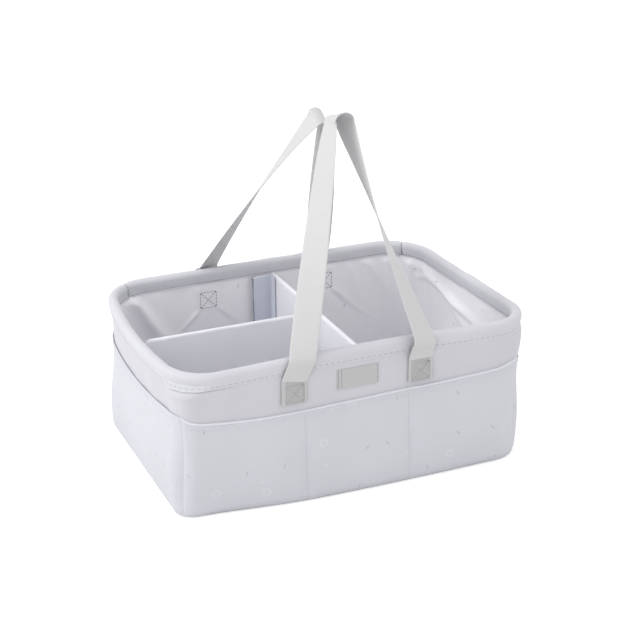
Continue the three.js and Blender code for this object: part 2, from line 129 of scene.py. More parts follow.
def ease(low: float, high: float, value: Array) -> Array:
    """Smooth step: 0 below low, 1 above high, three squares less two cubes of the share between."""
    share = np.clip((value - low) / (high - low), 0, 1)
    return share * share * (3 - 2 * share)


def bell(distance: Array, width: Array | float) -> Array:
    """Gaussian bell: e to the minus square of distance over width."""
    return np.exp(-((distance / width) ** 2))


def ridge(distance: Array, height: float, width: float) -> Array:
    """A ridge of some height and width: the height times a bell."""
    return height * bell(distance, width)


def wrapped(offset: Array, loop: float) -> Array:
    """Offsets round a loop by the shorter way, from minus to plus half the loop."""
    return (offset + loop / 2) % loop - loop / 2


def unit(vectors: Array) -> Array:
    """Vectors of the same directions and of length 1."""
    return vectors / np.linalg.norm(vectors, axis=-1, keepdims=True)


def runs_along(line: Array) -> Array:
    """Distance of each point of a line from its first point, along the line."""
    return np.concatenate([[0], np.cumsum(np.linalg.norm(np.diff(line, axis=0), axis=1))])


def edged(count: int, near: float = 0.004) -> Array:
    """Shares from 0 to 1 with an extra one close to each end, so that an edge can be rounded."""
    even = np.linspace(0, 1, count + 1)
    return np.sort(np.concatenate([even, [near, 1 - near]]))


def edge_thickness(shares: Array, edge: float = 0.35) -> Array:
    """Thickness factors, as a column, that draw a sheet's first and last rows together and are 1 inside."""
    inside = np.minimum(np.arange(len(shares)), np.arange(len(shares))[::-1])
    return np.where(inside == 0, edge, 1.0)[:, None]


@dataclass(frozen=True)
class Columns:
    """Upright lines along one wall or round all of them, where they close to a ring.

    A column has its wall's turn and distance from the middle (half), half the wall's run, the distance of its
    pocket seams from its middle or 0, and the nearer corner, counted from the front right one. A station from
    -1 to 1 is on the straight, and from 1 to 2 round half a corner. Around is the distance round the basket
    at half height, from the middle of the front wall.
    """

    turn: Array
    half: Array
    run: Array
    seam: Array
    corner: Array
    station: Array
    around: Array
    ring: bool

    @property
    def from_end(self) -> Array:
        """Distance of each column from the nearer end of an open run."""
        return np.minimum(self.around - self.around[0], self.around[-1] - self.around)


@dataclass(frozen=True)
class Plan:
    """Rounded rectangle that the middle of the padded walls follows, with the soft set of the real cloth.

    Each corner, from the front right one round, has a radius at the base, below the rim and at the rim. Spans
    and tops are shares of the height, the half length or the half width. The right end's rim is skewed, the
    left one's bows out, the front rim has crept up, the long walls bow at the base and the front left base is
    tucked in.
    """

    half_length: float
    half_width: float
    height: float
    corners: tuple[tuple[float, float, float], ...] = (
        (26 * MM, 34 * MM, 38 * MM),
        (28 * MM, 42 * MM, 46 * MM),
        (28 * MM, 50 * MM, 44 * MM),
        (15 * MM, 17 * MM, 38 * MM),
    )
    band_span: Span = (0.0, 0.6)
    rim_span: Span = (0.88, 0.93)
    mean_corner: float = 40 * MM
    seam_reach: float = 55 * MM
    end_skew: float = 0.085
    skew_pivot: float = -10 * MM
    skew_span: Span = (0.3, 1.0)
    end_bow: float = 7.5 * MM
    bow_middle: float = -8 * MM
    bow_half: float = 92 * MM
    bow_span: Span = (0.5, 1.0)
    sway_power: float = 1.3
    sway_end: Span = (1.07, 1.7)
    rim_lift: float = 3.0 * MM
    creep_start: Span = (-0.8, -0.15)
    creep_end: Span = (0.25, 0.75)
    creep_loss: float = 0.75
    creep_rise: Span = (0.7, 0.9)
    base_bow: float = 3.5 * MM
    bow_reach: float = 0.8
    bow_top: float = 0.4
    corner_tuck: float = 8 * MM
    tuck_along: Span = (0.25, 0.95)
    tuck_across: Span = (0.3, 1.0)
    tuck_top: float = 0.55

    @classmethod
    def from_frame(cls, padding: float = 4 * MM) -> "Plan":
        """Plan whose walls lie in the middle of the frame's wall padding.

        Args:
            padding: Thickness of the padding.

        Returns:
            The plan.
        """
        front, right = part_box("wall_foam_front"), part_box("wall_foam_right")
        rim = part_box("rim_binding_front")
        return cls(right[1].x - padding / 2, -front[0].y - padding / 2, rim[1].z)

    def radius(self, corner: Array, z: Array | float) -> Array:
        """Corner radius: eases from the base to just below the rim, and again to the rim.

        Args:
            corner: Numbers of the corners.
            z: Heights.

        Returns:
            Radii.
        """
        base, band, rim = np.array(self.corners).T[:, corner]
        low = base + (band - base) * ease(*self.band_span, z / self.height)
        return low + (rim - band) * ease(*self.rim_span, z / self.height)

    def wall(self, side: Side) -> tuple[float, float, float]:
        """Measures of a wall.

        Args:
            side: The wall.

        Returns:
            Its distance from the middle, half its run and the place of its pocket seams.
        """
        if side.is_long:
            return self.half_width, self.half_length, self.seam_reach
        return self.half_length, self.half_width, 0.0

    def half_wall(self, side: Side) -> float:
        """Half a wall's length at half height, with half of an average corner."""
        radius = float(np.mean(self.radius(np.arange(len(Side)), self.height / 2)))
        return self.wall(side)[1] - radius + radius * HALF_CORNER

    @property
    def loop(self) -> float:
        """Distance round the whole basket at half height."""
        return 4 * (self.half_wall(Side.FRONT) + self.half_wall(Side.RIGHT))

    def middle(self, side: Side) -> float:
        """Distance round the basket from the front wall's middle to another wall's middle."""
        return side.value * self.loop / len(Side)

    def distance(self, columns: Columns, z: Array | float) -> Array:
        """Signed distance along a column's wall from the wall's middle.

        Within the pocket seams it is three times the station times the seam's place, beyond them it runs
        evenly to the corner, and round a corner it is the arc's length.

        Args:
            columns: The columns.
            z: Heights that broadcast with the columns.

        Returns:
            Distances.
        """
        reach, hand = np.abs(columns.station), np.sign(columns.station)
        radius = self.radius(columns.corner, z)
        straight = columns.run - radius
        outer = (reach - SEAM_STATION) / (1 - SEAM_STATION)
        seamed = np.where(
            reach <= SEAM_STATION,
            reach / SEAM_STATION * columns.seam,
            columns.seam + (straight - columns.seam) * outer,
        )
        flat = np.where(columns.seam > 0, seamed, reach * straight)
        return hand * np.where(reach > 1, straight + radius * (reach - 1) * HALF_CORNER, flat)

    def columns(
        self, sides: Sequence[Side], step: float, first: float = -WALL_END, last: float = WALL_END
    ) -> Columns:
        """Columns about one step apart along neighbouring walls, closed to a ring where all four are named.

        Args:
            sides: Walls in order.
            step: Distance between columns.
            first: Station on the first wall at which an open run starts.
            last: Station on the last wall at which an open run ends.

        Returns:
            The columns.
        """
        ring = len(sides) == len(Side)
        stations, owners, middles = [], [], []
        arc = self.mean_corner * HALF_CORNER
        for index, side in enumerate(sides):
            straight = self.wall(side)[1] - self.mean_corner
            low = first if index == 0 else -WALL_END
            high = last if index == len(sides) - 1 else WALL_END
            inner = [-1.0, -SEAM_STATION, SEAM_STATION, 1.0] if side.is_long else [-1.0, 0.0, 1.0]
            marks = [low, *(mark for mark in inner if low < mark < high), high]
            for start, end in zip(marks, marks[1:], strict=False):
                length = (end - start) * (arc if max(abs(start), abs(end)) > 1 else straight)
                part = np.linspace(start, end, max(2, round(length / step)), endpoint=False)
                stations.append(part)
                owners += [side] * len(part)
                middles += [(sides[0].value + index) * self.loop / len(Side)] * len(part)
        if not ring:
            stations.append(np.array([last]))
            owners.append(sides[-1])
            middles.append(middles[-1])
        station = np.concatenate(stations)
        quarter = np.array([side.value for side in owners])
        half, run, seam = np.array([self.wall(side) for side in owners]).T
        corner = np.where(station < 0, quarter - 1, quarter) % len(Side)
        draft = Columns(quarter * math.pi / 2, half, run, seam, corner, station, station, ring)
        return replace(draft, around=np.array(middles) + self.distance(draft, self.height / 2))

    def sway(self, x: Array, y: Array, z: Array) -> tuple[Array, Array]:
        """Soft set of the upper walls, which fades towards the base and again above the rim.

        The right end turns out of square, in proportion to the distance from its pivot. The left end bows out
        by a parabola. The front rim has crept up from the middle to the right.

        Args:
            x: Places along the basket.
            y: Places across it.
            z: Heights.

        Returns:
            Shifts along and up.
        """
        share, level = x / self.half_length, z / self.height
        rise = np.clip(level, 0, 1) ** self.sway_power * (1 - ease(*self.sway_end, level))
        right = -self.end_skew * (y - self.skew_pivot) * ease(*self.skew_span, share)
        parabola = np.clip(1 - ((y - self.bow_middle) / self.bow_half) ** 2, 0, 1)
        left = -self.end_bow * parabola * ease(*self.bow_span, -share)
        crept = (
            ease(*self.creep_start, share)
            * (1 - self.creep_loss * ease(*self.creep_end, share))
            * (y < 0)
        )
        lift = self.rim_lift * crept * ease(*self.creep_rise, level) * np.where(level > 1, rise, 1)
        return (right + left) * rise, lift

    def bow(self, x: Array, z: Array) -> Array:
        """How far a long wall bows out near the base: a parabola along it that fades with height."""
        parabola = np.clip(1 - (x / (self.bow_reach * self.half_length)) ** 2, 0, 1)
        return self.base_bow * parabola * (1 - ease(0, self.bow_top, z / self.height))

    def tuck(self, x: Array, y: Array, z: Array) -> Array:
        """How far the base is drawn in towards the middle near the front left corner, fading with height."""
        near = ease(*self.tuck_along, -x / self.half_length) * ease(*self.tuck_across, -y / self.half_width)
        return self.corner_tuck * near * (1 - ease(0, self.tuck_top, z / self.height))

    def point(self, columns: Columns, z: Array | float, out: Array | float) -> Array:
        """Points on the walls: along the straight, then round the corner arc, which widens by the offset.

        Args:
            columns: The columns.
            z: Heights.
            out: Offsets outwards from the middle of the wall.

        Returns:
            Points, with a last axis of 3.
        """
        z, out, station = np.broadcast_arrays(z, out, columns.station)
        reach, hand = np.abs(station), np.sign(station)
        radius = self.radius(columns.corner, z)
        length = self.distance(columns, z)
        angle = np.clip(reach - 1, 0, None) * HALF_CORNER
        side = np.where(reach > 1, hand * (columns.run - radius + (radius + out) * np.sin(angle)), length)
        bowed = np.where(columns.seam > 0, self.bow(length, z), 0)
        depth = columns.half - radius + (radius + out) * np.cos(angle) + bowed
        cosine, sine = np.cos(columns.turn), np.sin(columns.turn)
        x, y = side * cosine + depth * sine, side * sine - depth * cosine
        shift, lift = self.sway(x, y, z)
        return np.stack([x + shift, y + self.tuck(x, y, z), z + lift], -1)

    def outward(self, columns: Columns) -> Array:
        """Level unit vectors that point out of the walls.

        Args:
            columns: The columns.

        Returns:
            A vector for each column.
        """
        hand = np.sign(columns.station)
        angle = columns.turn + hand * np.clip(np.abs(columns.station) - 1, 0, None) * HALF_CORNER
        return np.stack([np.sin(angle), -np.cos(angle), np.zeros_like(angle)], -1)


def new_object(name: str, data: bpy.types.ID) -> Piece:
    """An object in the scene.

    Args:
        name: Object's name.
        data: Its mesh, light or camera.

    Returns:
        The object.
    """
    thing = bpy.data.objects.new(name, data)
    bpy.context.scene.collection.objects.link(thing)
    return thing


def solid(name: str, points: Array, faces: Array, cloth: Array) -> Piece:
    """A smooth mesh object whose faces point outwards.

    Args:
        name: Object's name.
        points: Vertices.
        faces: Four vertex numbers for each face.
        cloth: Map of the cloth in metres, for each corner of each face.

    Returns:
        The object, in the scene.
    """
    a, b, c, d = (points[faces[:, k]] for k in range(4))
    volume = np.sum(a * np.cross(b, c)) + np.sum(a * np.cross(c, d))
    if volume < 0:
        faces = faces[:, ::-1]
        cloth = cloth.reshape(-1, 4, 2)[:, ::-1].reshape(-1, 2)
    mesh = bpy.data.meshes.new(name)
    mesh.from_pydata(points.tolist(), [], faces.tolist())
    layer = mesh.uv_layers.new(name="cloth")
    layer.data.foreach_set("uv", cloth.astype(np.float32).ravel())
    mesh.polygons.foreach_set("use_smooth", np.ones(len(faces), bool))
    mesh.set_sharp_from_angle(angle=SHARP_EDGE)
    mesh.update()
    return new_object(name, mesh)


def lattice_mesh(name: str, points: Array, ring: bool = False) -> Piece:
    """A closed mesh from a profile carried along a path.

    Rows go once round the profile, up the face and down the back, and columns go along the path. Neighbouring
    rows and columns make four-sided faces, and an open path is capped with a strip between face and back. The
    map of the cloth holds metres: distance along the path at a middle row and round the profile at a middle
    column.

    Args:
        name: Object's name.
        points: Points by row, column and axis.
        ring: Whether the last column joins the first.

    Returns:
        The object.
    """
    rows, columns = points.shape[:2]
    profile, path = points[:, columns // 2], points[rows // 4]
    across, along = (runs_along(np.append(line, line[:1], 0)) for line in (profile, path))
    row, column = np.meshgrid(np.arange(rows), np.arange(columns if ring else columns - 1), indexing="ij")
    corners = [(row, column), (row, column + 1), (row + 1, column + 1), (row + 1, column)]
    faces = np.stack([(r % rows) * columns + c % columns for r, c in corners], -1).reshape(-1, 4)
    cloth = np.stack([np.stack([along[c], across[r]], -1) for r, c in corners], -2).reshape(-1, 2)
    if not ring:
        low = np.arange(rows // 2 - 1)
        strip = np.stack([low, low + 1, rows - 2 - low, rows - 1 - low], -1) * columns
        caps = np.concatenate([strip, strip[:, ::-1] + columns - 1])
        faces = np.concatenate([faces, caps])
        flat = np.stack([along[caps % columns], across[caps // columns]], -1)
        cloth = np.concatenate([cloth, flat.reshape(-1, 2)])
    return solid(name, points.reshape(-1, 3), faces, cloth)


def two_faced(name: str, face: Array, back: Array, ring: bool = False) -> Piece:
    """A closed sheet from points of its face and of its back, joined by lattice_mesh."""
    return lattice_mesh(name, np.concatenate([face, back[::-1]]), ring)


def wall_sheet(name: str, plan: Plan, columns: Columns, z: Array, face: Array, back: Array) -> Piece:
    """A sheet along the walls, up its face and down its back."""
    return two_faced(name, plan.point(columns, z, face), plan.point(columns, z, back), columns.ring)


def plate_sheet(name: str, x: Array, y: Array, top: Array, bottom: Array) -> Piece:
    """A nearly level sheet."""
    return two_faced(name, *(np.stack(np.broadcast_arrays(x, y, z), -1) for z in (top, bottom)))


def plan_grid(
    plan: Plan, out: float, z: float, rows: int, corner: float = 27 * MM, steps: tuple[int, int] = (9, 71)
) -> tuple[Array, Array]:
    """Level grid that fills the plan; each column reaches from one long wall to the other.

    Args:
        plan: The plan.
        out: Offset of the outline from the middle of the walls.
        z: Height that sets how far the long walls bow.
        rows: Number of rows.
        corner: Radius of the corners without the offset.
        steps: Number of columns round a corner and along the straight.

    Returns:
        Places along and across, by row and column.
    """
    radius = corner + out
    reach, breadth = plan.half_length + out - radius, plan.half_width + out - radius
    turn = np.linspace(0, math.pi / 2, steps[0])
    straight = np.linspace(-reach, reach, steps[1])[1:-1]
    x = np.concatenate([-(reach + radius * np.sin(turn))[::-1], straight, reach + radius * np.sin(turn)])
    half = breadth + radius * np.concatenate([np.cos(turn)[::-1], np.ones_like(straight), np.cos(turn)])
    half = half + plan.bow(x, np.full_like(x, z))
    x, y = np.broadcast_arrays(x, np.linspace(-1, 1, rows)[:, None] * half)
    return x, y + plan.tuck(x, y, np.full_like(x, z))


@dataclass(frozen=True)
class Folds:
    """Soft folds in cloth, each a ridge that starts at one edge and fades away from it."""

    place: Array
    drift: Array
    width: Array
    length: Array
    height: Array

    @classmethod
    def scattered(
        cls,
        draw: np.random.Generator,
        places: Array,
        jitter: float,
        drift: float,
        width: Span,
        length: Span,
        height: Span,
    ) -> "Folds":
        """Folds near some places, with even random sizes.

        Args:
            draw: Seeded source of random numbers.
            places: Distances along the edge.
            jitter: Largest shift from a place.
            drift: Largest sideways run for each metre away from the edge.
            width: Least and greatest width.
            length: Least and greatest length.
            height: Least and greatest height.

        Returns:
            The folds.
        """
        count = len(places)
        return cls(
            places + draw.uniform(-jitter, jitter, count),
            draw.uniform(-drift, drift, count),
            draw.uniform(*width, count),
            draw.uniform(*length, count),
            draw.uniform(*height, count),
        )

    def relief(self, along: Array, drop: Array, loop: float) -> Array:
        """Sum of the ridges: height, times a bell across the ridge, times a bell of the drop over its length.

        Args:
            along: Distances along the edge.
            drop: Distances away from the edge.
            loop: Distance after which the edge repeats.

        Returns:
            Heights.
        """
        along, drop = np.broadcast_arrays(along, drop)
        spread = (slice(None), None, None)
        offset = wrapped(along - self.place[spread] - self.drift[spread] * drop, loop)
        widened = self.width[spread] * (1 + np.abs(drop) / (2 * self.length[spread]))
        ridges = bell(offset, widened) * bell(drop, self.length[spread])
        return np.sum(self.height[spread] * ridges, axis=0)


def ripples(
    draw: np.random.Generator, along: Array, up: Array, loop: float,
    count: int, waves: tuple[int, int], lean: float,
) -> Array:
    """Gentle waviness between about -1 and 1: the mean of slanted sine waves that close round the loop.

    Args:
        draw: Seeded source of random numbers.
        along: Distances round the loop.
        up: Heights.
        loop: Length of the loop.
        count: Number of waves to add.
        waves: Least and greatest number of waves in a loop.
        lean: Greatest change of phase for each metre of height, in turns.

    Returns:
        Waviness.
    """
    along, up = np.broadcast_arrays(along, up)
    number = draw.integers(waves[0], waves[1] + 1, count)[:, None, None]
    slant = draw.uniform(-lean, lean, count)[:, None, None]
    phase = draw.uniform(0, 1, count)[:, None, None]
    turns = number * along / loop + slant * up + phase
    return np.mean(np.sin(2 * math.pi * turns), axis=0) * math.sqrt(count)


class Sketch:
    """A node tree that is drawn from left to right."""

    def __init__(self, tree: Tree) -> None:
        """Starts on an empty tree."""
        self.tree = tree
        tree.nodes.clear()

    def add(self, kind: str, inputs: dict | None = None, **settings: object) -> bpy.types.Node:
        """Adds a node.

        Args:
            kind: Node's type name after ShaderNode.
            inputs: Values or sockets for its inputs, by name or number.
            **settings: Properties of the node.

        Returns:
            The node.
        """
        node = self.tree.nodes.new("ShaderNode" + kind)
        for key, value in settings.items():
            setattr(node, key, value)
        for key, value in (inputs or {}).items():
            self.feed(node.inputs[key], value)
        return node

    def feed(self, socket: Socket, value: object) -> None:
        """Links a socket to another one, or sets its value.

        Args:
            socket: Socket that takes the value.
            value: Another socket, or a plain value.
        """
        if isinstance(value, Socket):
            self.tree.links.new(value, socket)
        else:
            socket.default_value = value

    def math(self, operation: str, first: object, second: object = 0.0, third: object = 0.0) -> Socket:
        """Result of a Math node."""
        return self.add("Math", {0: first, 1: second, 2: third}, operation=operation).outputs[0]

    def mix(self, share: object, first: object, second: object, blend: str = "MIX") -> Socket:
        """Colour between two colours.

        Args:
            share: Share of the second colour.
            first: First colour.
            second: Second colour.
            blend: Way of blending.

        Returns:
            The mixed colour.
        """
        node = self.add("Mix", data_type="RGBA", blend_type=blend)
        for name, value in (("Factor_Float", share), ("A_Color", first), ("B_Color", second)):
            self.feed(next(s for s in node.inputs if s.identifier == name), value)
        return next(s for s in node.outputs if s.identifier == "Result_Color")

    def ramp(self, value: object, low: float, high: float, start: float = 0.0, end: float = 1.0) -> Socket:
        """Value carried smoothly from one span to another."""
        spans = {"Value": value, "From Min": low, "From Max": high, "To Min": start, "To Max": end}
        return self.add("MapRange", spans, interpolation_type="SMOOTHSTEP").outputs[0]

    def group(self, name: str, inputs: dict) -> bpy.types.Node:
        """A shared effect with some of its inputs fed."""
        return self.add("Group", inputs, node_tree=Groups.get(name))


def shared_group(
    name: str, inputs: dict[str, tuple[str, object]], outputs: dict[str, str]
) -> tuple[Sketch, dict, dict]:
    """An empty node group with named sockets.

    Args:
        name: Group's name.
        inputs: Kind and usual value of each input.
        outputs: Kind of each output.

    Returns:
        The sketch, the sockets to read and the sockets to feed.
    """
    tree = bpy.data.node_groups.new(name, "ShaderNodeTree")
    sketch = Sketch(tree)
    for label, (kind, value) in inputs.items():
        socket = tree.interface.new_socket(label, in_out="INPUT", socket_type="NodeSocket" + kind)
        if value is not None:
            socket.default_value = value
    for label, kind in outputs.items():
        tree.interface.new_socket(label, in_out="OUTPUT", socket_type="NodeSocket" + kind)
    source = tree.nodes.new("NodeGroupInput")
    sink = tree.nodes.new("NodeGroupOutput")
    return sketch, {s.name: s for s in source.outputs}, {s.name: s for s in sink.inputs}


def weave_group() -> Tree:
    """Threads of a plain weave.

    Each thread is half a sine wave high across its pitch. On a chequerboard of thread crossings the warp lies
    on top on one colour and the weft on the other.

    Returns:
        The group: Height is the thread surface, and Shade is darker between threads.
    """
    sketch, read, feed = shared_group(
        "weave",
        {"Cloth": ("Vector", None), "Warp Pitch": ("Float", 0.5 * MM), "Weft Pitch": ("Float", 0.5 * MM)},
        {"Height": "Float", "Shade": "Float"},
    )
    lit_from = 0.9
    place = sketch.add("SeparateXYZ", {0: read["Cloth"]})
    waves = []
    for axis, pitch in (("X", "Warp Pitch"), ("Y", "Weft Pitch")):
        turns = sketch.math("DIVIDE", place.outputs[axis], read[pitch])
        waves.append(sketch.math("SINE", sketch.math("MULTIPLY", turns, math.pi)))
    on_top = sketch.math("GREATER_THAN", sketch.math("MULTIPLY", *waves), 0.0)
    warp, weft = (sketch.math("ABSOLUTE", wave) for wave in waves)
    lifted = sketch.math("MULTIPLY_ADD", on_top, sketch.math("SUBTRACT", warp, weft), weft)
    sketch.feed(feed["Height"], lifted)
    sketch.feed(feed["Shade"], sketch.ramp(lifted, 0.0, lit_from))
    return sketch.tree


def mottle_group() -> Tree:
    """Soft unevenness of dyed cloth, from two sizes of noise.

    Returns:
        The group: Tone is broad, Nap is fine and both run from 0 to 1 about a half.
    """
    sketch, read, feed = shared_group(
        "mottle",
        {"Place": ("Vector", None), "Broad Scale": ("Float", 14.0), "Nap Scale": ("Float", 420.0)},
        {"Tone": "Float", "Nap": "Float"},
    )
    for label, scale, detail in (("Tone", "Broad Scale", 3.0), ("Nap", "Nap Scale", 2.0)):
        spots = sketch.add("TexNoise", {"Vector": read["Place"], "Scale": read[scale], "Detail": detail})
        sketch.feed(feed[label], spots.outputs["Fac"])
    return sketch.tree


def print_group() -> Tree:
    """Sparse little printed seeds, rings and dots, one in some of the cells of a random honeycomb.

    In each cell the motif is drawn in a frame that is turned by the cell's own random colour: a seed is a
    narrow ellipse, a ring lies between two radii and a dot within one radius.

    Returns:
        The group: a mask for each of the three motifs.
    """
    sketch, read, feed = shared_group(
        "sparse print",
        {"Cloth": ("Vector", None), "Spacing": ("Float", 40 * MM)},
        {"Seed": "Float", "Ring": "Float", "Dot": "Float"},
    )
    narrowing, ring_radius = (0.2, 1.0, 0.0), 3.6 * MM
    scale = sketch.math("DIVIDE", 1.0, read["Spacing"])
    cells = sketch.add("TexVoronoi", {"Vector": read["Cloth"], "Scale": scale}, voronoi_dimensions="2D")
    chance = sketch.add("SeparateColor", {0: cells.outputs["Color"]})
    local = sketch.add("VectorMath", {0: read["Cloth"], 1: cells.outputs["Position"]}, operation="SUBTRACT")
    angle = sketch.math("MULTIPLY", chance.outputs["Red"], math.pi)
    turned = sketch.add("VectorRotate", {"Vector": local.outputs[0], "Angle": angle}, rotation_type="Z_AXIS")
    stretched = sketch.add("VectorMath", {0: turned.outputs[0], 1: narrowing}, operation="MULTIPLY")
    narrow, away = (
        sketch.add("VectorMath", {0: place.outputs[0]}, operation="LENGTH").outputs["Value"]
        for place in (stretched, local)
    )
    band = sketch.math("ABSOLUTE", sketch.math("SUBTRACT", away, ring_radius))
    kind = chance.outputs["Green"]
    motifs = {
        "Seed": (narrow, 0.4 * MM, 0.75 * MM, sketch.math("LESS_THAN", kind, 0.34)),
        "Ring": (band, 0.3 * MM, 0.9 * MM, sketch.math("COMPARE", kind, 0.5, 0.13)),
        "Dot": (away, 1.2 * MM, 2.2 * MM, sketch.math("GREATER_THAN", kind, 0.72)),
    }
    for label, (distance, full, none, chosen) in motifs.items():
        mask = sketch.ramp(distance, full, none, 1.0, 0.0)
        sketch.feed(feed[label], sketch.math("MULTIPLY", mask, chosen))
    return sketch.tree


class Groups:
    """The shared effects, each built the first time that a finish asks for it."""

    makers = {"weave": weave_group, "mottle": mottle_group, "sparse print": print_group}

    @classmethod
    def get(cls, name: str) -> Tree:
        """The group of that name."""
        return bpy.data.node_groups.get(name) or cls.makers[name]()


def new_material(name: str) -> tuple[Paint, Sketch, Socket]:
    """An empty material.

    Args:
        name: Material's name.

    Returns:
        The material, its nodes and the socket that takes the surface.
    """
    material = bpy.data.materials.new(name)
    material.use_nodes = True
    sketch = Sketch(material.node_tree)
    return material, sketch, sketch.add("OutputMaterial").inputs["Surface"]


@dataclass(frozen=True)
class Cloth:
    """A woven fabric finish: the pitch and depth of its threads, and how far tone and roughness vary."""

    name: str
    colour: Colour
    roughness: float = 0.75
    pitch: Span = (0.45 * MM, 0.45 * MM)
    depth: float = 0.05 * MM
    sheen: float = 0.15
    specular: float = 0.35
    tone: float = 0.05
    printed: bool = False
    between: float = 0.93
    uneven: float = 0.06
    nap_span: Span = (0.3, 0.7)
    bump: float = 0.6
    sheen_roughness: float = 0.4

    def material(self) -> Paint:
        """Builds the material: mottled colour under the weave's shade, the print, and thread bumps.

        Returns:
            The material.
        """
        material, sketch, surface = new_material(self.name)
        where = sketch.add("TexCoord")
        cloth = where.outputs["UV"]
        mottle = sketch.group("mottle", {"Place": where.outputs["Object"]})
        warp, weft = self.pitch
        weave = sketch.group("weave", {"Cloth": cloth, "Warp Pitch": warp, "Weft Pitch": weft})
        darker = tuple(part * (1 - 2 * self.tone) for part in self.colour[:3])
        colour = sketch.mix(mottle.outputs["Tone"], (*darker, 1.0), self.colour)
        shade = sketch.ramp(weave.outputs["Shade"], 0.0, 1.0, self.between, 1.0)
        colour = sketch.mix(1.0, colour, shade, "MULTIPLY")
        if self.printed:
            colour = self.stamp(sketch, cloth, colour)
        smooth, rough = self.roughness - self.uneven, self.roughness + self.uneven
        height = {"Height": weave.outputs["Height"], "Distance": self.depth, "Strength": self.bump}
        shader = sketch.add("BsdfPrincipled", {
            "Base Color": colour,
            "Roughness": sketch.ramp(mottle.outputs["Nap"], *self.nap_span, smooth, rough),
            "Normal": sketch.add("Bump", height).outputs[0],
            "Sheen Weight": self.sheen,
            "Sheen Roughness": self.sheen_roughness,
            "Specular IOR Level": self.specular,
        })
        sketch.feed(surface, shader.outputs[0])
        return material

    def stamp(self, sketch: Sketch, cloth: Socket, colour: Socket) -> Socket:
        """Prints grey seeds, white rings and blush dots over a colour.

        Args:
            sketch: The material's nodes.
            cloth: Map of the cloth.
            colour: Colour to print on.

        Returns:
            The printed colour.
        """
        motifs = sketch.group("sparse print", {"Cloth": cloth})
        inks = {
            "Seed": (0.55, srgb(150, 152, 158)),
            "Ring": (0.16, srgb(250, 250, 252)),
            "Dot": (0.3, srgb(240, 220, 218)),
        }
        for label, (strength, ink) in inks.items():
            share = sketch.math("MULTIPLY", motifs.outputs[label], strength)
            colour = sketch.mix(share, colour, ink)
        return colour


@dataclass(frozen=True)
class Porous:
    """A foam or board finish: speckled colour, darker in the pits as painted shade, over a surface with so
    many pits for each metre.
    """

    name: str
    colour: Colour
    grain: float
    depth: float
    roughness: float = 0.9
    uneven: float = 0.05
    tone_span: Span = (0.2, 0.8)
    pit_shade: float = 0.72
    bump: float = 0.7

    def material(self) -> Paint:
        """Builds the material from one noise, which dents the surface and darkens the dents as painted shade.

        Returns:
            The material.
        """
        material, sketch, surface = new_material(self.name)
        where = sketch.add("TexCoord")
        mottle = sketch.group("mottle", {"Place": where.outputs["Object"], "Nap Scale": self.grain})
        # The colour is dimmed where the noise dents the surface: painted shade in the pits.
        pits = tuple(part * self.pit_shade for part in self.colour[:3])
        height = {"Height": mottle.outputs["Nap"], "Distance": self.depth, "Strength": self.bump}
        smooth = self.roughness - self.uneven
        shader = sketch.add("BsdfPrincipled", {
            "Base Color": sketch.mix(mottle.outputs["Nap"], (*pits, 1.0), self.colour),
            "Roughness": sketch.ramp(mottle.outputs["Tone"], *self.tone_span, smooth, self.roughness),
            "Normal": sketch.add("Bump", height).outputs[0],
        })
        sketch.feed(surface, shader.outputs[0])
        return material


def webbing(
    name: str, colour: Colour, roughness: float = 0.7, depth: float = 0.1 * MM, tone: float = 0.05
) -> Cloth:
    """Finish of woven webbing."""
    return Cloth(name, colour, roughness, (1.1 * MM, 0.9 * MM), depth, sheen=0.1, tone=tone)


def thread(name: str, colour: Colour) -> Cloth:
    """Finish of sewing thread."""
    return Cloth(name, colour, 0.6, (0.25 * MM, 0.25 * MM))


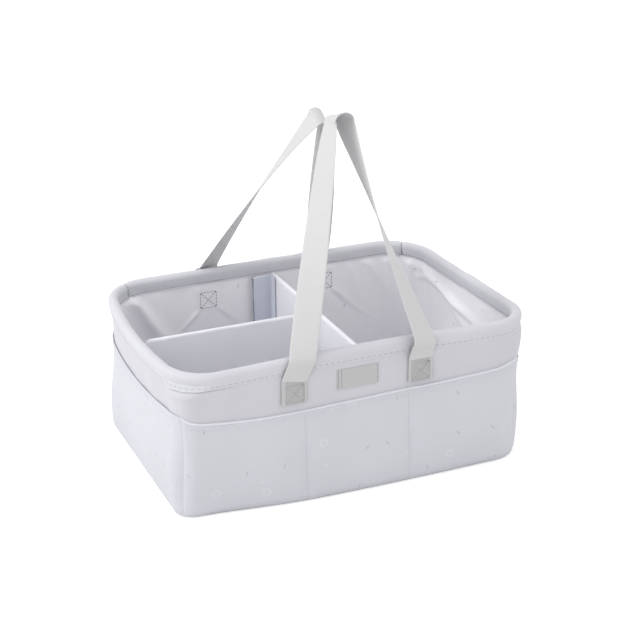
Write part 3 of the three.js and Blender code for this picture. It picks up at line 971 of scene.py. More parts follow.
class Finish(Enum):
    """Every finish on the caddy, with the record's slot that it belongs to."""

    OUTER = ("outer_fabric", Cloth("outer cloth", srgb(203, 202, 208)))
    POCKET = ("pocket_fabric", Cloth("pocket cloth", srgb(205, 207, 213), printed=True))
    # Lighter copy of the pocket cloth for the hem's rolled top edge: a painted highlight where the edge
    # catches the light.
    HEM = ("pocket_fabric", Cloth("pocket hem highlight", srgb(221, 223, 229)))
    LINING = ("lining_fabric", Cloth(
        "lining satin", srgb(240, 239, 243), roughness=0.46, pitch=(0.3 * MM, 0.3 * MM), depth=0.02 * MM,
        sheen=0.1, specular=0.5, printed=True))
    RIM = ("rim_fabric", Cloth("rim cloth", srgb(206, 206, 212), roughness=0.65))
    WEBBING = ("webbing", webbing("handle webbing", srgb(204, 204, 205), roughness=0.6))
    TAB = ("webbing", webbing("tab webbing", srgb(181, 181, 182), depth=0.14 * MM, tone=0.08))
    TAB_EDGE = ("webbing", webbing("tab edge", srgb(192, 192, 193)))
    LABEL = ("label", Cloth(
        "woven label", srgb(187, 187, 188), roughness=0.7, pitch=(0.6 * MM, 0.35 * MM), depth=0.06 * MM,
        tone=0.03))
    DIVIDER = ("divider_fabric", Cloth("divider cloth", srgb(236, 236, 242), roughness=0.6))
    FLAP = ("flap_fabric", Cloth("flap cloth", srgb(214, 218, 229), roughness=0.65))
    HOOKS = ("hook_and_loop", Porous("hook tape", srgb(201, 204, 212), 1500.0, 0.5 * MM, 0.85))
    LOOPS = ("hook_and_loop", Porous("loop tape", srgb(198, 201, 209), 900.0, 0.6 * MM))
    FOAM = ("foam", Porous("padding foam", srgb(241, 240, 236), 700.0, 0.3 * MM))
    BOARD = ("stiff_board", Porous("grey board", srgb(185, 168, 140), 260.0, 0.1 * MM))
    SEAM_THREAD = ("outer_fabric", thread("seam thread", srgb(190, 190, 195)))
    TAB_THREAD = ("webbing", thread("tab thread", srgb(166, 166, 167)))
    BOX_THREAD = ("lining_fabric", thread("box thread", srgb(130, 130, 136)))
    # Dark thread along each flap's free edge: a painted shadow that stands for the shaded gap between flap
    # and lining.
    EDGE_THREAD = ("flap_fabric", thread("flap edge shadow thread", srgb(104, 108, 122)))

    @property
    def slot(self) -> str:
        """The record's material slot."""
        return self.value[0]

    def material(self) -> Paint:
        """The Blender material, built on first use."""
        recipe = self.value[1]
        return bpy.data.materials.get(recipe.name) or recipe.material()

    def dress(self, piece: Piece) -> None:
        """Gives a piece this finish and no other."""
        piece.data.materials.clear()
        piece.data.materials.append(self.material())


def settle(piece: Piece, body: Body | None, finish: Finish, *nodes: str) -> Piece:
    """Dresses a piece, seats it on its body and lets it stand for its nodes.

    Args:
        piece: The piece.
        body: Body that carries it, or none for a piece that is left without one here.
        finish: Its finish.
        *nodes: Nodes of the frame that it stands for.

    Returns:
        The piece.
    """
    finish.dress(piece)
    finish.slot
    if body:
        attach(piece, body.value)
    if nodes:
        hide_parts(*nodes)
    log.info("%s: %d faces on %s", piece.name, len(piece.data.polygons), body.value if body else "two bodies")
    return piece


def stitch_row(line: Array, outward: Array, length: float, gap: float) -> Row:
    """Even stitches along a line.

    Args:
        line: Points of the line.
        outward: Unit vectors out of the cloth at those points, or one for all of them.
        length: Length of a stitch.
        gap: Gap between stitches.

    Returns:
        Starts, ends and outward vectors of the stitches.
    """
    runs, outward = runs_along(line), np.broadcast_to(outward, line.shape)
    count = max(1, int((runs[-1] + gap) / (length + gap)))
    starts = (np.arange(count) + 0.5) * runs[-1] / count - length / 2

    def at(distance: Array, values: Array) -> Array:
        """Values at distances along the line."""
        return np.stack([np.interp(distance, runs, values[:, axis]) for axis in range(3)], -1)

    return at(starts, line), at(starts + length, line), at(starts + length / 2, outward)


def stitches(name: str, rows: Sequence[Row], radius: float, sides: int = 6) -> Piece:
    """Many stitches in one mesh, each a short thread that dips into the cloth at both ends.

    A stitch has five rings of six points. The rings' radii swell from a third to one and back, and their
    middles follow a low arch over the cloth.

    Args:
        name: Object's name.
        rows: Starts, ends and outward vectors of each row.
        radius: Radius of the thread.
        sides: Points in a ring.

    Returns:
        The object.
    """
    start, end, outward = (np.concatenate(parts) for parts in zip(*rows, strict=True))
    share = np.array([0.0, 0.14, 0.5, 0.86, 1.0])
    swell = np.array([0.35, 0.9, 1.0, 0.9, 0.35]) * radius
    lift = np.array([-0.9, 0.1, 0.35, 0.1, -0.9]) * radius
    course = end - start
    side = unit(np.cross(course, outward))
    up = unit(np.cross(side, course))
    angle = np.linspace(0, 2 * math.pi, sides, endpoint=False)
    middle = start[:, None] + course[:, None] * share[:, None] + up[:, None] * lift[:, None]
    round_about = side[:, None, None] * np.cos(angle)[:, None] + up[:, None, None] * np.sin(angle)[:, None]
    points = middle[:, :, None] + round_about * swell[:, None, None]
    ring, corner = np.meshgrid(np.arange(len(share) - 1), np.arange(sides), indexing="ij")
    after, low, high = (corner + 1) % sides, ring * sides, (ring + 1) * sides
    quads = np.stack([low + corner, low + after, high + after, high + corner], -1).reshape(-1, 4)
    cap = np.array([[0, 1, 2, 3], [0, 3, 4, 5]])
    faces = np.concatenate([quads, cap, cap[:, ::-1] + (len(share) - 1) * sides])
    every = (np.arange(len(start))[:, None, None] * len(share) * sides + faces).reshape(-1, 4)
    cloth = np.stack([faces // sides * radius, faces % sides * radius], -1).reshape(-1, 2)
    return solid(name, points.reshape(-1, 3), every, np.tile(cloth, (len(start), 1)))


def sew(name: str, rows: Sequence[Row], radius: float, finish: Finish, body: Body = Body.BASKET) -> None:
    """Builds the stitches of some rows and seats them on a body."""
    settle(stitches(name, rows, radius), body, finish)


def boxed_cross(
    corner: Array, across: Array, up: Array, outward: Array, stitch: float = 2.4 * MM, gap: float = 0.35
) -> list[Row]:
    """Rows of a stitched square with a cross in it.

    Args:
        corner: Lower left corner.
        across: Vector along the lower edge.
        up: Vector along the left edge.
        outward: Unit vector out of the cloth.
        stitch: Length of a stitch.
        gap: Gap between stitches, as a share of a stitch.

    Returns:
        The rows of stitches.
    """
    a, b, c, d = corner, corner + across, corner + across + up, corner + up
    pairs = [(a, b), (b, c), (c, d), (d, a), (a, c), (b, d)]
    return [stitch_row(np.array(pair), outward, stitch, stitch * gap) for pair in pairs]


@dataclass(frozen=True)
class Layout:
    """Where the handles, the label and the insert's tapes meet the walls.

    A tape's measures are those at the long walls and at the left one. Above the pockets a padded band puffs
    out, most on the walls that face full_way.
    """

    plan: Plan
    tab_reach: float = 67 * MM
    tab_width: float = 27 * MM
    tab_low: float = 109 * MM
    label_half: float = 22 * MM
    label_span: Span = (114 * MM, 134 * MM)
    tape_half: Span = (14 * MM, 15 * MM)
    tape_shift: Span = (2 * MM, 9 * MM)
    tape_top: float = 136 * MM
    soft: float = 7 * MM
    wall_face: float = 3.3 * MM
    puff: float = 2.7 * MM
    least_puff: float = 0.4
    full_way: Span = (0.5, -0.85)
    full_span: Span = (-0.3, 0.4)
    swell_span: Span = (85 * MM, 128 * MM)
    drawn_span: Span = (134 * MM, 141 * MM)
    drawn: float = 0.3

    def band(self, columns: Columns, z: Array) -> Array:
        """Outer face of the padded band between pockets and rim.

        It swells from the wall's face below the hem to its full puff, and draws in again at the rim's
        stitches. The front and right walls are the fuller ones.

        Args:
            columns: Columns.
            z: Heights.

        Returns:
            Offsets of the face.
        """
        facing = self.plan.outward(columns)
        towards = self.full_way[0] * facing[:, 0] + self.full_way[1] * facing[:, 1]
        fullness = self.least_puff + (1 - self.least_puff) * ease(*self.full_span, towards)
        swell = ease(*self.swell_span, z) * (1 - self.drawn * ease(*self.drawn_span, z))
        return self.wall_face + self.puff * fullness * swell

    def tabs(self) -> list[float]:
        """Distances round the basket of the four tabs."""
        back = self.plan.middle(Side.BACK)
        return [-self.tab_reach, self.tab_reach, back - self.tab_reach, back + self.tab_reach]

    def covered(self, along: Array, up: Array, middle: float, half: float, heights: Span) -> Array:
        """Mask of an upright rectangle on the walls: 1 inside, easing to 0 over a soft border.

        Args:
            along: Distances round the basket.
            up: Heights.
            middle: Distance of the rectangle's middle.
            half: Half its width.
            heights: Its lower and upper edges.

        Returns:
            The mask.
        """
        low, high = heights
        offset = np.abs(wrapped(along - middle, self.plan.loop))
        upright = ease(low - self.soft, low, up) * (1 - ease(high, high + self.soft, up))
        return (1 - ease(half, half + self.soft, offset)) * upright

    def strap_mask(self, along: Array, up: Array) -> Array:
        """Mask of the places that the webbing lies on."""
        half, heights = self.tab_width / 2, (self.tab_low, self.plan.height)
        return sum(self.covered(along, up, middle, half, heights) for middle in self.tabs())

    def label_mask(self, along: Array, up: Array) -> Array:
        """Mask of the place that the label lies on."""
        return self.covered(along, up, 0.0, self.label_half, self.label_span)

    def tape_mask(self, along: Array, up: Array) -> Array:
        """Mask of the strips of lining that the insert's flaps fasten to.

        Args:
            along: Distances round the basket.
            up: Heights.

        Returns:
            The mask.
        """
        masks = []
        for side in (Side.FRONT, Side.BACK, Side.LEFT):
            wall = 0 if side.is_long else 1
            middle = self.plan.middle(side) + self.tape_shift[wall]
            masks.append(self.covered(along, up, middle, self.tape_half[wall], (0.0, self.tape_top)))
        return sum(masks)


@dataclass
class Padding:
    """Foam inside the walls and the rolled foam along their top."""

    plan: Plan
    step: float = 6 * MM
    half: float = 1.8 * MM
    bottom: float = 2 * MM
    top: float = 141.5 * MM
    rows: int = 12
    wall_fill: float = 0.8
    roll_out: float = 1.3 * MM
    roll_height: float = 149 * MM
    roll_radius: float = 4.2 * MM
    roll_sides: int = 16
    roll_fill: float = 0.9

    def build(self) -> None:
        """Builds the wall padding as a closed band and the rim padding as a closed tube."""
        ring = self.plan.columns(list(Side), self.step)
        z = (self.bottom + (self.top - self.bottom) * edged(self.rows))[:, None]
        half = self.half * edge_thickness(z)
        walls = wall_sheet("wall_padding", self.plan, ring, z, half, -half)
        settle(walls, Body.BASKET, Finish.FOAM, *[f"wall_foam_{side.word}" for side in Side])
        angle = np.linspace(0, 2 * math.pi, self.roll_sides, endpoint=False)[:, None]
        out = self.roll_out + self.roll_radius * np.cos(angle)
        points = self.plan.point(ring, self.roll_height + self.roll_radius * np.sin(angle), out)
        roll = lattice_mesh("rim_padding", points, True)
        settle(roll, Body.BASKET, Finish.FOAM, "rim_foam")


@dataclass
class OuterShell:
    """Outer cloth: a band right round the walls, seen between pockets and rim, and the base.

    The ridge and the groove of the crease at the front left corner each have a size, a height and a width.
    """

    layout: Layout
    cloth: float = 0.9 * MM
    bottom: float = 1.5 * MM
    hidden_top: float = 85 * MM
    top: float = 141 * MM
    step: float = 2.4 * MM
    base_thickness: float = 1.2 * MM
    base_out: float = 2.6 * MM
    base_rows: int = 25
    seed: int = 5
    wave: float = 0.4 * MM
    wave_span: Span = (100 * MM, 120 * MM)
    wave_end: float = 12 * MM
    stitched: float = 2 * MM
    crease_shift: float = 10 * MM
    crease_reach: float = 26 * MM
    ridge: tuple[float, float, float] = (0.9 * MM, 133.5 * MM, 2.4 * MM)
    groove: tuple[float, float, float] = (1.8 * MM, 139.5 * MM, 1.6 * MM)
    pressed: float = 0.7 * MM

    def relief(self, columns: Columns, z: Array) -> Array:
        """Waves of the padded band, puckers under the stitches and a creased front left corner.

        The crease is a ridge above a groove, each a bell in height, that fades out round the corner.

        Args:
            columns: Columns.
            z: Heights.

        Returns:
            Offsets outwards.
        """
        draw = np.random.default_rng(self.seed)
        loop, around, drop = self.layout.plan.loop, columns.around, self.top - z
        waves = self.wave * ripples(draw, around, z, loop, 7, (8, 30), 5.0)
        waves = waves * ease(*self.wave_span, z) * ease(0, self.wave_end, drop)
        puckers = Folds.scattered(
            draw, np.arange(0, loop, 9 * MM), jitter=5 * MM, drift=0.5,
            width=(1.5 * MM, 3 * MM), length=(3 * MM, 10 * MM), height=(-0.4 * MM, 0.25 * MM))
        creased = puckers.relief(around, drop, loop) * ease(0, self.stitched, drop)
        aside = around + self.layout.plan.half_wall(Side.FRONT) - self.crease_shift
        near = bell(aside, self.crease_reach) + bell(aside - loop, self.crease_reach)
        ridge, groove = (size * bell(z - place, width) for size, place, width in (self.ridge, self.groove))
        masked = self.layout.strap_mask(around, z) + self.layout.label_mask(around, z)
        free = 1 - np.clip(masked, 0, 1)
        return (waves + creased + near * (ridge - groove)) * free - self.pressed * (1 - free)

    def build(self) -> None:
        """Builds the band, the base and the board on it."""
        plan = self.layout.plan
        ring = plan.columns(list(Side), self.step)
        seen_from = self.hidden_top + 2 * MM
        hidden, seen = np.linspace(self.bottom, self.hidden_top, 9), np.linspace(seen_from, self.top, 50)
        z = np.concatenate([hidden, seen])[:, None]
        face = self.layout.band(ring, z) + self.relief(ring, z)
        shell = wall_sheet("outer_shell", plan, ring, z, face, face - self.cloth)
        settle(shell, Body.BASKET, Finish.OUTER, *[f"outer_panel_{side.word}" for side in Side])
        plan.loop
        x, y = plan_grid(plan, self.base_out, 0.0, self.base_rows)
        thick = self.base_thickness * edge_thickness(y)
        low = self.base_thickness / 2 - thick / 2
        base = plate_sheet("base_cover", x, y, low + thick, low)
        settle(base, Body.BASKET, Finish.OUTER, "outer_base")
        float(np.ptp(x))
        float(np.ptp(y))
        lowest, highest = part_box("base_board")
        x, y = plan_grid(plan, -self.base_out, 0.0, self.base_rows)
        middle, half = (lowest.z + highest.z) / 2, (highest.z - lowest.z) / 2 * edge_thickness(y)
        board = plate_sheet("base_panel", x, y, middle + half, middle - half)
        settle(board, Body.BASKET, Finish.BOARD, "base_board")


@dataclass
class Rim:
    """Padded rim: cloth folded over a strip of foam and stitched through under it, in two lengths.

    The lips are offsets and drops of the cloth's edges from the stitches, and the seams stations on the back
    wall.
    """

    layout: Layout
    out: float = 1.3 * MM
    half: float = 5.4 * MM
    shoulder: float = 149.4 * MM
    stitch_height: float = 141 * MM
    waist: float = 1.3 * MM
    waist_span: Span = (0.0, 0.75)
    outer_lip: tuple[Span, ...] = ((0.15 * MM, -2.2 * MM), (0.35 * MM, -1.6 * MM), (0.25 * MM, -0.8 * MM))
    inner_lip: tuple[Span, ...] = ((-0.5 * MM, -0.5 * MM), (-1.1 * MM, -1.1 * MM), (-0.9 * MM, -1.9 * MM))
    cloth: float = 0.9 * MM
    step: float = 2 * MM
    seam_left: float = 1.667
    seam_right: float = -1.97
    seed: int = 11
    wave: float = 0.16 * MM
    wave_from: float = 6 * MM
    pucker_span: Span = (0.2 * MM, 2 * MM)
    strap_height: float = 148 * MM
    dent: float = 0.25 * MM
    join_depth: float = 1.3 * MM
    join_reach: float = 4 * MM
    join_power: float = 1.5
    proud: float = 0.05 * MM

    def profile(self) -> tuple[Array, Array, Array, Array, Array]:
        """Section of the cloth, from the outer lip over the half-round top to the inner lip.

        Returns:
            Offsets, heights, the two parts of the outward normal, and distances from the nearer stitch line.
        """
        angle = np.radians(np.linspace(0, 180, 25))
        top = np.stack([self.out + self.half * np.cos(angle), self.shoulder + self.half * np.sin(angle)], -1)
        up = np.linspace(0, 1, 9)[:, None]
        drawn = self.waist * (1 - ease(*self.waist_span, up))
        flank = self.stitch_height + (self.shoulder - self.stitch_height) * up
        outer = np.concatenate([self.out + self.half - drawn, flank], -1)[:-1]
        inner = np.concatenate([self.out - self.half + 0.5 * drawn, flank], -1)[-2::-1]
        path = np.concatenate([outer[0] + self.outer_lip, outer, top, inner, inner[-1] + self.inner_lip])
        course = unit(np.gradient(path, axis=0))
        runs = runs_along(path)
        outside, inside = runs[len(self.outer_lip)], runs[-1 - len(self.inner_lip)]
        near = np.minimum(np.abs(runs - outside), np.abs(runs - inside))
        return path[:, 0], path[:, 1], course[:, 1], -course[:, 0], near

    def relief(self, columns: Columns, near: Array) -> Array:
        """Soft unevenness of the padding, puckers at the stitch lines and a dent under each strap.

        Args:
            columns: Columns.
            near: Distance of each row from the nearer stitch line.

        Returns:
            Offsets along the section's normal.
        """
        draw = np.random.default_rng(self.seed)
        loop, around = self.layout.plan.loop, columns.around
        waves = self.wave * ripples(draw, around, near, loop, 8, (8, 34), 8.0) * ease(0, self.wave_from, near)
        puckers = Folds.scattered(
            draw, np.arange(0, loop, 5 * MM), jitter=3 * MM, drift=0.4,
            width=(1.2 * MM, 2.2 * MM), length=(3 * MM, 8 * MM), height=(-0.35 * MM, 0.15 * MM))
        creases = puckers.relief(around, near, loop) * ease(*self.pucker_span, near)
        strapped = self.layout.strap_mask(around, np.full_like(near, self.strap_height))
        return (waves + creases) * (1 - strapped) - self.dent * strapped

    def build(self) -> None:
        """Builds the front-and-ends length and the back length, each drawn in where they are joined."""
        plan = self.layout.plan
        front_and_ends = [Side.BACK, Side.LEFT, Side.FRONT, Side.RIGHT, Side.BACK]
        lengths = {
            "front": (front_and_ends, self.seam_left, self.seam_right),
            "back": ([Side.BACK], self.seam_right, self.seam_left),
        }
        out, z, normal_out, normal_up, near = (part[:, None] for part in self.profile())
        section = np.sum(np.hypot(np.diff(out[:, 0]), np.diff(z[:, 0])))
        joins = []
        for word, (sides, first, last) in lengths.items():
            columns = plan.columns(sides, self.step, first, last)
            sunk = self.join_depth * (1 - ease(0, self.join_reach, columns.from_end)) ** self.join_power
            relief = self.relief(columns, near) - sunk
            face, back = (
                plan.point(columns, z + normal_up * lift, out + normal_out * lift)
                for lift in (relief, relief - self.cloth)
            )
            piece = two_faced(f"rim_roll_{word}", face, back)
            settle(piece, Body.BASKET, Finish.RIM, f"rim_binding_{word}")
            float(np.ptp(columns.around))
            facing = plan.outward(columns)[-1] * normal_out + np.array([0, 0, 1.0]) * normal_up
            joins.append(stitch_row(face[:, -1], facing, 2.6 * MM, 0.2 * MM))
        sew("rim_joins", joins, 0.6 * MM, Finish.BOX_THREAD)

    def stitch(self) -> None:
        """Row of stitches through the rim outside, and the close seam inside."""
        plan = self.layout.plan
        ring = plan.columns(list(Side), self.step)
        out, _, _, _, near = self.profile()
        rows = (
            ("rim_stitches", 1, 3.8 * MM, 2.4 * MM, Finish.SEAM_THREAD),
            ("rim_seam", -1, 4 * MM, 0.2 * MM, Finish.BOX_THREAD),
        )
        for (name, hand, length, gap, finish), spot in zip(rows, np.flatnonzero(near == 0), strict=True):
            line = plan.point(ring, self.stitch_height, out[spot] + hand * self.proud)
            outward = hand * plan.outward(ring)
            closed = (np.append(part, part[:1], 0) for part in (line, outward))
            sew(name, [stitch_row(*closed, length, gap)], 0.4 * MM, finish)


@dataclass
class Pocket:
    """One pocket panel: cloth sewn down along the base, the corners and the seams, open along a hem.

    The hem's heights are those at the two seams and at the corners, from the front right one round. Spans are
    shares of the height up to the hem, apart from right_span, which is one of the way across. Groove and
    valleys have a depth and a width.
    """

    layout: Layout
    side: Side
    bottom: float = 0.8 * MM
    cloth: float = 0.9 * MM
    bulge: float = 4.4 * MM
    bulge_end: Span = (0.35, 1.0)
    loose: float = 0.35 * MM
    gathered: float = 0.8
    gather_span: Span = (0.85, 1.0)
    gape: float = 0.25 * MM
    end_gape: float = 0.6 * MM
    gape_span: Span = (0.6, 1.0)
    band_span: Span = (0.55, 0.95)
    band_depth: float = 50 * MM
    seam_hems: Span = (99.7 * MM, 103.0 * MM)
    corner_hems: tuple[float, ...] = (109 * MM, 109 * MM, 117 * MM, 113 * MM)
    end_lean: float = 7 * MM
    end_sag: float = 13 * MM
    steep: float = 0.6
    steep_reach: float = 7 * MM
    gentle_reach: float = 85 * MM
    right_span: Span = (0.05, 0.75)
    welt: float = 1.3 * MM
    hem_depth: float = 8 * MM
    doubled: float = 0.7
    corner_reach: float = 36 * MM
    end_reach: float = 12 * MM
    highlight_share: float = 0.985
    fine_rows: tuple[float, ...] = (0.93, 0.95, 0.965, 0.974, 0.981, 0.987, 0.992, 0.996, 0.999, 1.0)
    seed: int = 20
    wave: float = 0.3 * MM
    breadth: float = 110 * MM
    seam_height: float = 0.12
    tuck: float = 2.2 * MM
    tuck_top: float = 6 * MM
    groove: Span = (0.25 * MM, 1.2 * MM)
    seam_valley: Span = (0.45 * MM, 1.2 * MM)
    corner_valley: Span = (0.5 * MM, 1 * MM)
    stitch_size: Span = (2.6 * MM, 1.6 * MM)

    def columns(self, step: float = 2 * MM) -> Columns:
        """Columns from one corner seam to the other."""
        return self.layout.plan.columns([self.side], step)

    def share(self, columns: Columns) -> Array:
        """Share of the way across the column's own pocket: from the left, or outwards from a seam.

        Args:
            columns: Columns.

        Returns:
            Shares.
        """
        reach = np.abs(columns.station)
        if not self.side.is_long:
            return (columns.station + WALL_END) / (2 * WALL_END)
        middle = (columns.station / SEAM_STATION + 1) / 2
        return np.where(reach <= SEAM_STATION, middle, (reach - SEAM_STATION) / (WALL_END - SEAM_STATION))

    def hem(self, columns: Columns) -> Array:
        """Height of the hem, between its heights at the corners and at the seams.

        On an end wall it leans and sags by a parabola, never above the straight line between the corners. On
        a long wall it is straight between the seams. To the left corner it rises first gently and then
        steeply, as a falling exponential of the distance still to go; to the right one it eases.

        Args:
            columns: Columns.

        Returns:
            Heights.
        """
        share = self.share(columns)
        start, end = self.corner_hems[self.side.value - 1], self.corner_hems[self.side.value]
        if not self.side.is_long:
            sagging = start + self.end_lean * share - self.end_sag * 4 * share * (1 - share)
            return np.minimum(sagging, start + (end - start) * share)
        first, second = self.seam_hems
        middle = first + (second - first) * share
        near = columns.from_end
        steep = self.steep * np.exp(-near / self.steep_reach)
        gentle = (1 - self.steep) * (1 - ease(0, self.gentle_reach, near))
        left = first + (start - first) * (steep + gentle)
        right = second + (end - second) * ease(*self.right_span, share)
        outer = np.where(columns.station < 0, left, right)
        return np.where(np.abs(columns.station) <= SEAM_STATION, middle, outer)

    def rounding(self, columns: Columns) -> Array:
        """How far the panel is away from its corner seams: one less the square of the way still to go."""
        reach = self.corner_reach if self.side.is_long else self.end_reach
        return 1 - np.clip(1 - columns.from_end / reach, 0, 1) ** 2

    def offset(self, columns: Columns, z: Array) -> Array:
        """Offset of the panel's middle from the wall.

        The pocket stands off by a bulge that is full in the middle and falls to nothing at its seams, as one
        less the sixth power of the distance from the middle; it grows from the base by one less the fourth
        power of the way still to go, and falls to a slight gape over the padded band at the hem. Folds fan
        out from the seams, with small puckers along them.

        Args:
            columns: Columns.
            z: Heights.

        Returns:
            Offsets.
        """
        draw = np.random.default_rng(self.seed + self.side.value)
        share, hem, rounding = self.share(columns), self.hem(columns), self.rounding(columns)
        rise, loop = z / hem, self.layout.plan.loop
        across = (1 - np.abs(2 * share - 1) ** 6) * rounding
        full = self.bulge * (1 - (1 - rise) ** 4) * (1 - ease(*self.bulge_end, rise))
        gape = self.gape if self.side.is_long else self.end_gape
        stand = across * (full + gape * ease(*self.gape_span, rise))
        banded = ease(*self.band_span, rise)
        band = self.layout.band(columns, np.maximum(z, hem - self.band_depth))
        under = band * banded + self.layout.wall_face * (1 - banded)
        waves = self.wave * ripples(draw, columns.around, z, loop, 7, (6, 26), 9.0)
        waves = waves * across * ease(0, 0.3, rise) * ease(0, 0.2, 1 - rise)
        seams = Folds.scattered(
            draw, np.arange(0, self.seam_height, 6 * MM), jitter=3 * MM, drift=1.2,
            width=(1.2 * MM, 2.4 * MM), length=(4 * MM, 14 * MM), height=(-0.3 * MM, 0.3 * MM))
        away = np.minimum(share, 1 - share) * self.breadth
        puckers = seams.relief(z, away, UNREPEATED) * ease(0, 10 * MM, away)
        tucked = self.tuck * (1 - ease(0, self.tuck_top, z))
        groove = ridge(hem - self.hem_depth - z, *self.groove)
        valley = ridge(away, *self.seam_valley) * rounding * ease(0, 0.05, 1 - rise)
        valley = valley + ridge(columns.from_end, *self.corner_valley)
        free = self.loose * (1 - self.gathered * ease(*self.gather_span, rise))
        return under + free + self.cloth / 2 + stand + waves + puckers - tucked - groove - valley

    def build(self) -> None:
        """Builds the panel, with a doubled hem and, on a long wall, a rolled edge along its top whose lighter
        finish is a painted highlight.
        """
        plan, columns, rolls = self.layout.plan, self.columns(), self.side.is_long
        share = np.concatenate([edged(38)[:-3], self.fine_rows])[:, None]
        hem = self.hem(columns)
        z = self.bottom + (hem - self.bottom) * share
        drop = hem - z
        middle = self.offset(columns, z)
        doubled = 1 - ease(self.hem_depth - 0.5 * MM, self.hem_depth + 1 * MM, drop)
        half = self.cloth / 2 * edge_thickness(share)
        edge_round = np.sqrt(np.clip(1 - (drop / self.welt - 1) ** 2, 0, 1))
        rolled = self.welt * edge_round * self.rounding(columns) * rolls
        face = middle + half * (1 + self.doubled * doubled) + rolled
        back = middle - half - ridge(drop, self.welt / 2 * rolls, self.welt)
        panel = wall_sheet(f"pocket_{self.side.word}", plan, columns, z, face, back)
        settle(panel, Body.BASKET, Finish.POCKET, f"pocket_panel_{self.side.word}")
        # The rolled top rows get the lighter hem finish, a painted highlight.
        panel.data.materials.append(Finish.HEM.material())
        row = np.arange(len(panel.data.polygons)) // (len(columns.station) - 1)
        first = np.searchsorted(share[:, 0], self.highlight_share)
        edge = (row >= first) & (row < len(share)) & rolls
        panel.data.polygons.foreach_set("material_index", edge.astype(np.int32))
        float(np.ptp(columns.around))

    def stitch(self) -> list[Row]:
        """Rows of stitches along the hem and down the two inner seams.

        Returns:
            The rows.
        """
        plan, columns = self.layout.plan, self.columns()
        z = self.hem(columns) - self.hem_depth
        out = self.offset(columns, z[None])[0] + self.cloth / 2
        rows = [stitch_row(plan.point(columns, z, out), plan.outward(columns), *self.stitch_size)]
        if self.side.is_long:
            heights = np.linspace(3 * MM, min(self.seam_hems) - 1.5 * MM, 60)[:, None]
            out = self.offset(columns, heights) + self.cloth / 2
            for hand in (-1, 1):
                spot = int(np.argmin(np.abs(columns.station - hand * SEAM_STATION)))
                line = plan.point(columns, heights, out)[:, spot]
                rows.append(stitch_row(line, plan.outward(columns)[spot], *self.stitch_size))
        return rows


